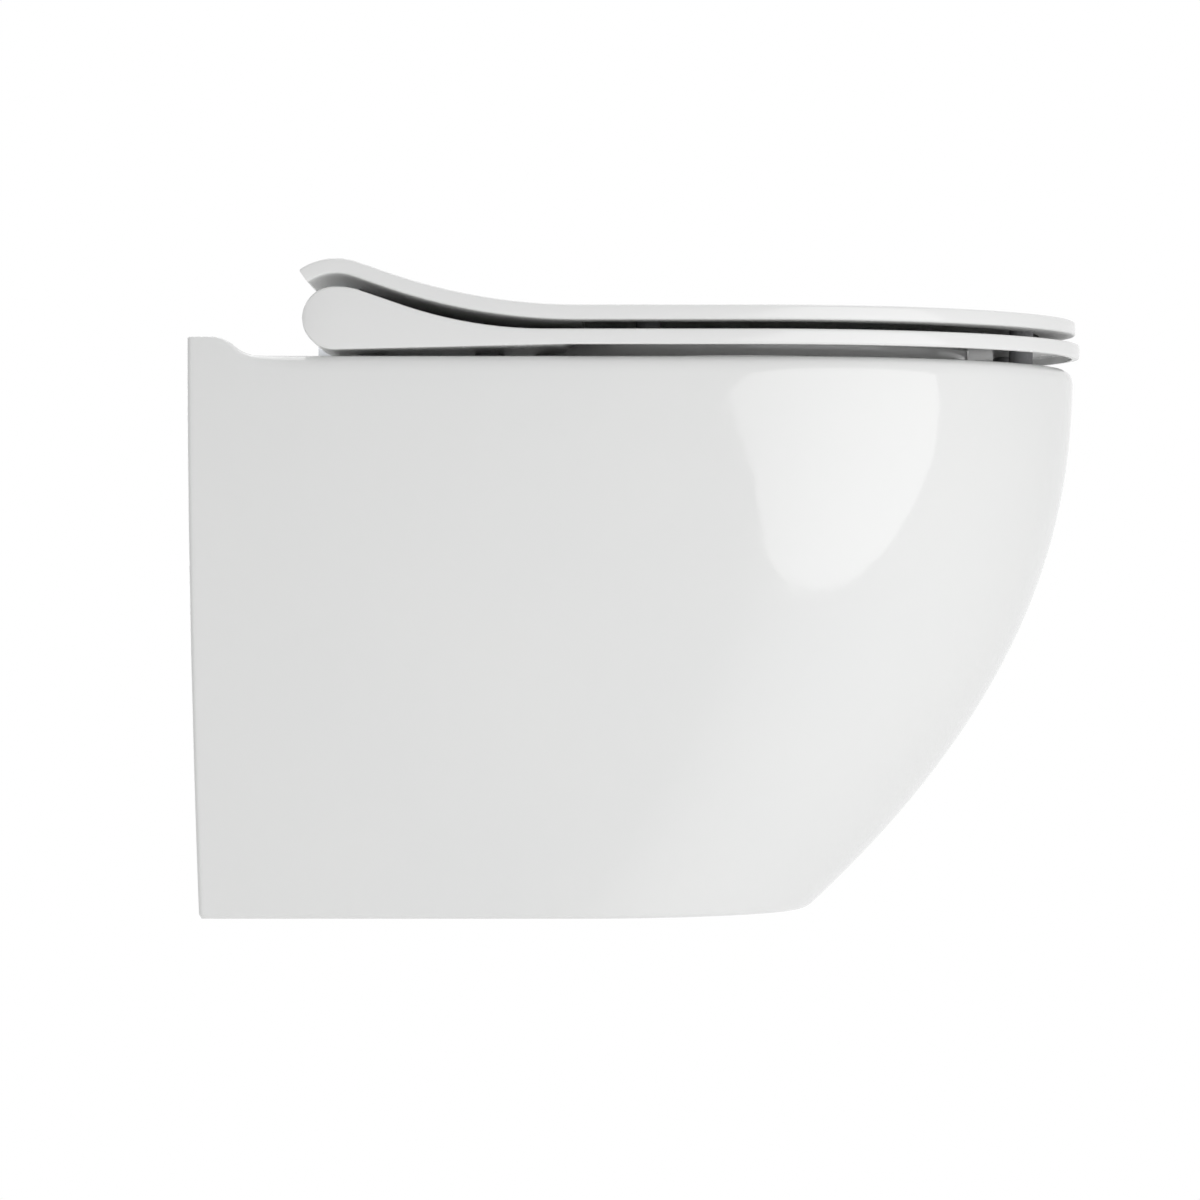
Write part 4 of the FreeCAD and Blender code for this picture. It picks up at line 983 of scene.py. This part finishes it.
def bend_group():
    """Turn all that lies behind Start by Angle about a line at Radius over (or under) Level."""
    tree, given, result = new_tree("bend", {
        "Position": "Vector", "Start": 0.0, "Level": 0.0, "Radius": 0.1, "Angle": 0.3,
        "Upwards": 1.0}, "Vector")
    split = add(tree, "ShaderNodeSeparateXYZ", {0: given["Position"]})
    y, z = Wire(tree, split.outputs[1]), Wire(tree, split.outputs[2])
    start, level, radius, angle, upwards = wires(tree, given, "Start", "Level", "Radius", "Angle", "Upwards")
    past = (y - start).math("MAXIMUM", 0.0)
    turn = (past / radius).math("MINIMUM", angle)
    rest = past - radius * turn
    arm = radius - upwards * (z - level)
    sine, cosine = turn.math("SINE"), turn.math("COSINE")
    new_y = y.math("MINIMUM", start) + arm * sine + rest * cosine
    new_z = level + upwards * (radius - arm * cosine + rest * sine)
    join = add(tree, "ShaderNodeCombineXYZ", {0: split.outputs[0], 1: new_y, 2: new_z})
    tree.links.new(join.outputs[0], result[0])
    return tree


bend = bend_group()
print("bend group:", len(bend.nodes), "nodes")

# %% [markdown]
# Every tree ends the same way, and is run on a piece the same way: its inputs are set, its mesh is
# kept, and the modifier goes. The lid's own tree comes after these two.

# %% How a tree ends and how it is run
def painted(tree, shape, finish, result):
    """The end of every tree: real geometry instead of instances, and its finish."""
    real = add(tree, "GeometryNodeRealizeInstances", {0: shape})
    paint = add(tree, "GeometryNodeSetMaterial", Geometry=real.outputs[0], Material=finish)
    tree.links.new(paint.outputs[0], result[0])
    return tree


def grown(piece, tree, **sizes):
    """Run a tree on a piece with its inputs set by the sockets' identifiers, and keep the mesh."""
    modifier = piece.modifiers.new("nodes", "NODES")
    modifier.node_group = tree
    for item in tree.interface.items_tree:
        key = item.name.replace(" ", "_").lower()
        if item.in_out == "INPUT" and key in sizes:
            modifier[item.identifier] = sizes[key]
    return finished(piece)


print("each tree ends in real geometry with a finish, and leaves a plain mesh")

# %% [markdown]
# ## One group, used twice
# The hump is bent first, while the plate behind it is still flat. The ramp then lifts the whole
# hump with it.

# %% The lid's tree
def bent_lid_tree(finish):
    """Bend the hump first, while the plate is still flat, and then the ramp with all behind it."""
    tree, given, result = new_tree("bent lid", {
        "Geometry": "Geometry", "Ramp start": 0.0, "Ramp radius": 0.3, "Ramp angle": 0.3,
        "Hump start": 0.0, "Hump radius": 0.04, "Hump angle": 0.9, "Top": 0.0})
    flow = tree.nodes.new("GeometryNodeInputPosition").outputs[0]
    for part, upwards in (("Hump", -1.0), ("Ramp", 1.0)):
        sizes = {label: given[f"{part} {label.lower()}"] for label in ("Start", "Radius", "Angle")}
        flow = add(tree, "GeometryNodeGroup", sizes, bend, Position=flow, Level=given["Top"],
                   Upwards=upwards).outputs[0]
    move = add(tree, "GeometryNodeSetPosition", Geometry=given["Geometry"], Position=flow)
    return painted(tree, move.outputs[0], finish, result)


print("tree that bends the lid is ready")

# %% [markdown]
# The plate is drawn flat, as long as it is along its curve. It starts under the hump's far end,
# at the tail, and its rows lie close together where the two bends will be.

# %% The flat plate
ramp_top_y = HUMP_Y - HUMP_RADIUS * math.sin(SLOPE)
ramp_top_z = HUMP_TOP - HUMP_RADIUS * (1 - math.cos(SLOPE))
ramp_foot_z = LID_TOP + LID_SWEEP * (1 - math.cos(SLOPE))
straight = (ramp_top_z - ramp_foot_z) / math.sin(SLOPE)
ramp_start = ramp_top_y - straight * math.cos(SLOPE) - LID_SWEEP * math.sin(SLOPE)
hump_start = ramp_start + LID_SWEEP * SLOPE + straight
hump_turn = SLOPE + math.radians(TAIL_TURN)
tail_y = hump_start + HUMP_RADIUS * hump_turn
LID_MIDDLE, LID_REAR_STEPS = -330.0, 24
LID_SIDE = [0, 1, 2, 3.5, 5.5, 8, 10.5, 13, 15.5, 18, 20.5, 23, 25.5, 28, 30.5, 33, 35.5, 38, 42,
            48, 55, 62, 70, 78, 86, 94, 102, 110, 118, 126, 134, 142, 150, 158, 166, 175, 185, 197, 210,
            225, 240, 252]


LID_STATIONS = sharp_stations(-tail_y, LID_REAR_STEPS, LID_SIDE)


def lid_ring(inset, rear, z):
    return [(*place(station, LID_HALF - inset, LID_REACH - inset, LID_NOSE - inset, rear), z)
            for station in LID_STATIONS]


def towards(points, goal, shares):
    """Rings on the way from one ring to another, at the first one's level."""
    return [[(x + (g[0] - x) * share, y + (g[1] - y) * share, z) for (x, y, z), g in zip(points, goal)]
            for share in shares]


def lid_plate():
    insets = edge_insets(LID_ROUND)
    pole = [(0.0, LID_MIDDLE)] * len(LID_STATIONS)
    top = lid_ring(LID_ROUND, LID_ROUND - tail_y, LID_TOP)
    floor_ring = lid_ring(LID_LIP + 0.9, POCKET_REAR + 0.9, LID_UNDER + LID_POCKET)
    rings = towards(floor_ring, pole, (0.9, 0.6, 0.3)) + [floor_ring]
    rings.append(lid_ring(LID_LIP + 0.15, POCKET_REAR + 0.15, LID_UNDER + 0.8 * LID_POCKET))
    edge = lid_ring(LID_LIP, POCKET_REAR, LID_UNDER)
    rings.append(edge)
    rings += towards(edge, top, [1 - step / (POCKET_REAR + tail_y) for step in reversed(LID_SIDE[1:34])])
    for level, side, order in ((LID_UNDER, 1, reversed(insets)), (LID_TOP, -1, insets)):
        rings += [lid_ring(inset, inset - tail_y, level + side * round_drop(inset, LID_ROUND))
                  for inset in order]
    rings += towards(top, pole, [step / (tail_y - LID_MIDDLE) for step in LID_SIDE[1:-2]])
    return skin("lid", [whole(ring) for ring in rings])


print(f"lid: ramp starts at {ramp_start:.1f}, hump at {hump_start:.1f}, plate ends at {tail_y:.1f}")

# %% [markdown]
# Bent, the plate gets the round barrel that the damper and the bush sit in. All three skins are
# then carried by their bodies, in place of the solids that they dress.

# %% Bend it and hang it on its barrel
BARREL_HALF, LID_BARREL, BARREL_STEP = 62.0, 13.5, 7
WEB = ((7.5, 15.0, 423), (9.0, 26.65, 429), (11.0, 29.65, 434),
       (-11.0, 29.65, 466), (-9.0, 26.65, 471), (-7.5, 15.0, 477))   # y, z and turn round the bore
BARREL_ENDS = ((0.0, 0.95), (0.4, 0.985), (1.0, 1.0))              # depth and share of the size

lid = grown(lid_plate(), bent_lid_tree(FINISHES["duroplast"]), ramp_start=ramp_start * MM,
            ramp_radius=LID_SWEEP * MM, ramp_angle=SLOPE, hump_start=hump_start * MM,
            hump_radius=HUMP_RADIUS * MM, hump_angle=hump_turn, top=LID_TOP * MM)
shade(lid)


def polar(turns, radius=1.0):
    return [(radius * math.cos(math.radians(a)), radius * math.sin(math.radians(a))) for a in turns]


def lid_barrel():
    """A round barrel on a web under the hump, bored for the damper and the bush, as one skin."""
    turns = list(range(125, 416, BARREL_STEP))
    outline = polar(turns, LID_BARREL) + [(y, z) for y, z, _ in WEB]
    circle = polar(turns + [turn for _, _, turn in WEB])
    left = [(-BARREL_HALF + depth, outline, share) for depth, share in BARREL_ENDS]
    right = [(BARREL_HALF - depth, outline, share) for depth, share in reversed(BARREL_ENDS)]
    damper = [(x, circle, DAMPER_BORE) for x in (-9.7, -BARREL_HALF)]
    bush = [(x, circle, BUSH_BORE) for x in (BARREL_HALF, 37.7)]
    rings = [[(x, AXIS_Y + y * scale, AXIS_Z + z * scale) for y, z in points]
             for x, points, scale in damper + left + right + bush]
    return skin("lid_barrel", rings, crease=30.0)


barrel = lid_barrel()
print("lid:", len(lid.data.polygons), "faces; barrel:", len(barrel.data.polygons))

# %% [markdown]
# Each skin rides on its body, stands for its solid, and keeps the solid's material slot.

# %% Carry the pieces on their bodies
def carried(piece, body, node, finish):
    piece.data.materials.clear()
    piece.data.materials.append(FINISHES[finish])
    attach(piece, body)
    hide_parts(node)


def mark(piece, name, share_of):
    """Note on each face how much of a second finish it has, for the materials to read."""
    mask = piece.data.attributes.new(name, "FLOAT", "FACE")
    mask.data.foreach_set("value", [share_of(face) for face in piece.data.polygons])


def facing_down(face):
    return face.normal.z < -0.5


mark(seat, UNDERSIDE, lambda face: 0.3 * facing_down(face))
mark(lid, UNDERSIDE, lambda face: float(facing_down(face)))
mark(glazed_pan, UNGLAZED, lambda face: float(face.center.y > -0.2 * MM))
carried(glazed_pan, "pan", "ceramic_pan", "glazed_ceramic")
carried(seat, "seat", "seat_ring", "duroplast")
for piece in (lid, barrel):
    carried(piece, "lid", "lid_panel", "duroplast")
print("carried: glazed pan, seat, lid and its barrel")

# %% [markdown]
# ## Rubber buffers
# Eight small rubber pads keep seat and lid off each other and off the glaze. They come in pairs
# that differ only in place and height, so one Geometry Nodes tree makes a pad, sets it on two
# points, and is used once for each pair. Its edge is rolled in by moving the end rows of points.

# %% A tree for a pair of pads
PAD_RADIUS, PAD_EDGE, PAD_SIDES, PAD_ROWS = 7.0, 1.4, 48, 24
PAD_PAIRS = {                     # across, from the wall, lowest and highest level
    "seat_buffers_front": ("seat", 55.0, RIM_REACH - 36, DECK_Z + 0.1, SEAT_UNDER + SEAT_POCKET),
    "seat_buffers_rear": ("seat", 100.0, 168.0, DECK_Z + 0.1, SEAT_UNDER + 4.0),
    "lid_buffers_front": ("lid", 58.0, RIM_REACH - 36, SEAT_TOP + 0.1, LID_UNDER + LID_POCKET),
    "lid_buffers_rear": ("lid", 124.0, 262.0, SEAT_TOP + 0.1, LID_UNDER + LID_POCKET),
}


def pad_tree(finish):
    tree, given, result = new_tree("pair of pads", {
        "Across": 0.05, "Front": -0.4, "Low": 0.08, "High": 0.09, "Radius": 0.007, "Edge": 0.001})
    across, front, low, high, radius, edge = wires(
        tree, given, "Across", "Front", "Low", "High", "Radius", "Edge")
    tall = high - low
    pad = add(tree, "GeometryNodeMeshCylinder", {"Side Segments": PAD_ROWS}, Vertices=PAD_SIDES,
              Radius=radius, Depth=tall)
    here = tree.nodes.new("GeometryNodeInputPosition").outputs[0]
    level = Wire(tree, add(tree, "ShaderNodeSeparateXYZ", {0: here}).outputs[2]).math("ABSOLUTE")
    into_edge = ((level - (tall / 2.0 - edge)) / edge).math("MAXIMUM", 0.0)
    kept = (into_edge * into_edge * -1.0 + 1.0).math("MAXIMUM", 0.0).math("SQRT")
    narrowed = ((kept - 1.0) * edge / radius) + 1.0
    scale = add(tree, "ShaderNodeCombineXYZ", {0: narrowed, 1: narrowed, 2: 1.0})
    rolled = add(tree, "ShaderNodeVectorMath", {0: here, 1: scale.outputs[0]})
    rolled.operation = "MULTIPLY"
    shaped = add(tree, "GeometryNodeSetPosition", Geometry=pad.outputs["Mesh"], Position=rolled.outputs[0])
    first = add(tree, "ShaderNodeCombineXYZ", {0: across * -1.0, 1: front, 2: (low + high) / 2.0})
    apart = add(tree, "ShaderNodeCombineXYZ", {0: across * 2.0})
    points = add(tree, "GeometryNodeMeshLine", {
        "Count": 2, "Start Location": first.outputs[0], "Offset": apart.outputs[0]})
    pair = add(tree, "GeometryNodeInstanceOnPoints", Points=points.outputs[0], Instance=shaped.outputs[0])
    return painted(tree, pair.outputs[0], finish, result)


pads = pad_tree(FINISHES["soft_rubber"])
for node, (body, across, from_wall, low, high) in PAD_PAIRS.items():
    pad = grown(as_piece(node + "_pads", bmesh.new()), pads, across=across * MM, front=-from_wall * MM,
                low=low * MM, high=high * MM, radius=PAD_RADIUS * MM, edge=PAD_EDGE * MM)
    shade(pad)
    carried(pad, body, node, "soft_rubber")
    print(node, len(pad.data.polygons), "faces")

# %% [markdown]
# ## Threads
# The hinge bolts are turned from bar and their threads are rolled. A thread is one small
# three-sided section swept along a spiral, so a curve does it: the spiral gives the pitch, and the
# section gives the depth. Only its crests stand out of the bolt, which is already there.

# %% A tree for a thread
CORE_RADIUS, BOLT_END, BOLT_PITCH = 3.9, DECK_Z - 43.6, 1.25
THREAD_LENGTH, THREAD_DEPTH = 16.0, 0.45


def thread_tree(finish):
    tree, given, result = new_tree("thread", {
        "Radius": 0.004, "Pitch": 0.001, "Length": 0.01, "Depth": 0.0004, "Place": "Vector"})
    length = Wire(tree, given["Length"])
    spiral = add(tree, "GeometryNodeCurveSpiral", {
        "Resolution": 24, "Rotations": length / given["Pitch"], "Height": length,
        "Start Radius": given["Radius"], "End Radius": given["Radius"]})
    section = add(tree, "GeometryNodeCurvePrimitiveCircle", Resolution=3, Radius=given["Depth"])
    sweep = add(tree, "GeometryNodeCurveToMesh", {
        "Curve": spiral.outputs[0], "Profile Curve": section.outputs[0], "Fill Caps": True})
    move = add(tree, "GeometryNodeSetPosition", Geometry=sweep.outputs[0], Offset=given["Place"])
    return painted(tree, move.outputs[0], finish, result)


threads = thread_tree(FINISHES["stainless_steel"])
for side, label in ((-1, "left"), (1, "right")):
    thread = grown(as_piece(f"hinge_thread_{label}", bmesh.new()), threads,
                   radius=CORE_RADIUS * MM, pitch=BOLT_PITCH * MM, length=THREAD_LENGTH * MM,
                   depth=THREAD_DEPTH * MM, place=(side * HINGE_X * MM, AXIS_Y * MM, BOLT_END * MM))
    shade(thread, 20.0)
    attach(thread, "pan")
print("thread:", len(thread.data.polygons), "faces")

# %% [markdown]
# ## Broken edges
# No real edge is quite sharp: castings come out of their mould round, and turned or pressed
# pieces are deburred. A small bevel on a merged copy of each solid gives every edge the thin
# highlight that tells the eye how big the piece is.

# %% Bevel the small pieces
BROKEN_EDGES = {                  # width of the rounded edge
    "hinge_housing": 0.7, "hinge_base": 0.4, "release_button": 0.4, "hinge_nut": 0.35, "wall_clamp": 0.9,
    "clamp_screw": 0.3, "flush_distributor": 0.8, "seat_damper": 0.5, "lid_damper": 0.5,
    "seat_bush": 0.4, "lid_bush": 0.4, "hinge_plug": 0.4, "flush_inlet_seal": 0.6,
}


def broken_edges(node, width):
    solid = bmesh.new()
    solid.from_mesh(frame["nodes"][node].data)
    bmesh.ops.remove_doubles(solid, verts=solid.verts, dist=0.002 * MM)
    bmesh.ops.dissolve_limit(solid, angle_limit=math.radians(0.5), verts=solid.verts, edges=solid.edges)
    sharp = [edge for edge in solid.edges if edge.calc_face_angle(0.0) > math.radians(32)]
    bmesh.ops.bevel(solid, geom=sharp, offset=width * MM, segments=2, profile=0.6,
                    affect="EDGES", clamp_overlap=True)
    return shade(in_scene(node + "_finished", as_mesh(node + "_finished", solid)), 30.0)


for row in frame["record"]["subparts"]:
    node, finish = row["node"], row["material_slot"]
    kind = node.removesuffix("_left").removesuffix("_right")
    if kind in BROKEN_EDGES:
        body = next(b for b, nodes in frame["record"]["behaviour"]["bodies"].items() if node in nodes)
        carried(broken_edges(node, BROKEN_EDGES[kind]), body, node, finish)
print(len(BROKEN_EDGES), "kinds of small piece with broken edges")

# %% [markdown]
# ## Light and camera
# The object hangs in a plain white room. The floor is as far below it as it is at home, and it
# fades to white with distance and in reflections, so no horizon shows. The world is white to the
# camera and softer to the object. One broad lamp in front of the pan does the shaping, a second
# lights its far side, and a third hangs over it.

# %% Room
ROOM_LIGHT = 0.46
FLOOR_Z, FLOOR_RADIUS, FADE_STARTS, FADE_MARGIN = -0.86, 2.6, 0.9, 0.1
WHITE = (1.0, 1.0, 1.0, 1.0)
LAMPS = {                         # place, aim, size and watts
    "front_quarter": ((-1.4, -1.25, -0.1), (0, -0.3, -0.05), (2.1, 1.5), 11.8),
    "far_quarter": ((1.8, 1.2, 0.3), (0, -0.25, 0), (1.9, 1.5), 12.0),
    "ceiling": ((0.5, -0.2, 1.9), (0, -0.25, 0), (1.8, 1.8), 14.0),
}


def seen_by(tree, *kinds):
    """1 for rays of one of those kinds, 0 for all others."""
    rays = tree.nodes.new("ShaderNodeLightPath").outputs
    seen = Wire(tree, rays[f"Is {kinds[0]} Ray"])
    for kind in kinds[1:]:
        seen = seen.math("MAXIMUM", rays[f"Is {kind} Ray"])
    return seen


def world():
    made = bpy.data.worlds.new("white_room")
    bpy.context.scene.world = made
    made.use_nodes = True
    tree = made.node_tree
    tree.nodes.clear()
    seen = seen_by(tree, "Camera", "Glossy", "Transmission")
    soft, white = (add(tree, "ShaderNodeBackground", Color=WHITE, Strength=strength).outputs[0]
                   for strength in (ROOM_LIGHT, 1.0))
    mix = add(tree, "ShaderNodeMixShader", {0: seen, 1: soft, 2: white})
    add(tree, "ShaderNodeOutputWorld", Surface=mix.outputs[0])


def lamp(name, place_at, aim, size, power):
    light = bpy.data.lights.new(name, "AREA")
    light.shape = "ELLIPSE"
    light.size, light.size_y = size
    light.energy = power
    made = in_scene(name, light)
    made.location = place_at
    made.rotation_euler = (Vector(aim) - Vector(place_at)).to_track_quat("-Z", "Y").to_euler()


def floor():
    built = bmesh.new()
    bmesh.ops.create_circle(built, cap_ends=True, segments=96, radius=FLOOR_RADIUS)
    made = in_scene("floor", as_mesh("floor", built))
    made.location = (0, -0.25, FLOOR_Z)
    pale = Finish("pale_floor", Roughness=0.9)
    pale.colour(pale.effect("waviness", Scale=2.0), (0.985, 0.985, 0.985), (0.978, 0.978, 0.978))
    tree = pale.tree
    where = tree.nodes.new("ShaderNodeTexCoord").outputs["Object"]
    far = add(tree, "ShaderNodeVectorMath", {0: where})
    far.operation = "LENGTH"
    faded = spread(tree, far.outputs["Value"], FADE_STARTS, FLOOR_RADIUS - FADE_MARGIN, 0.0, 1.0)
    white = (seen_by(tree, "Camera") * faded).math("MAXIMUM", seen_by(tree, "Glossy"))
    light = tree.nodes.new("ShaderNodeEmission").outputs[0]
    mix = add(tree, "ShaderNodeMixShader", {0: white, 1: pale.shader.outputs[0], 2: light})
    tree.links.new(mix.outputs[0], tree.nodes["Material Output"].inputs["Surface"])
    made.data.materials.append(pale.material)


world()
floor()
for name, setting in LAMPS.items():
    lamp(name, *setting)
print("lamps:", ", ".join(LAMPS))

# %% [markdown]
# The photograph is taken level, square to the side, from 2.75 m off the pan's middle plane.

# %% Camera
CAMERA_AT = (-2.751, -0.234, -0.0588)
FOCAL_PIXELS, PHOTO_PIXELS, SENSOR = 4539, 1200, 36.0
camera = bpy.data.cameras.new("camera")
camera.sensor_width = SENSOR
camera.sensor_fit = "HORIZONTAL"
camera.lens = FOCAL_PIXELS / PHOTO_PIXELS * SENSOR
stand = in_scene("camera", camera)
stand.location = CAMERA_AT
stand.rotation_euler = (math.radians(90), 0, math.radians(-90))
bpy.context.scene.camera = stand
bpy.context.scene.view_settings.view_transform = "Standard"
print(f"camera: {camera.lens:.1f} mm lens")
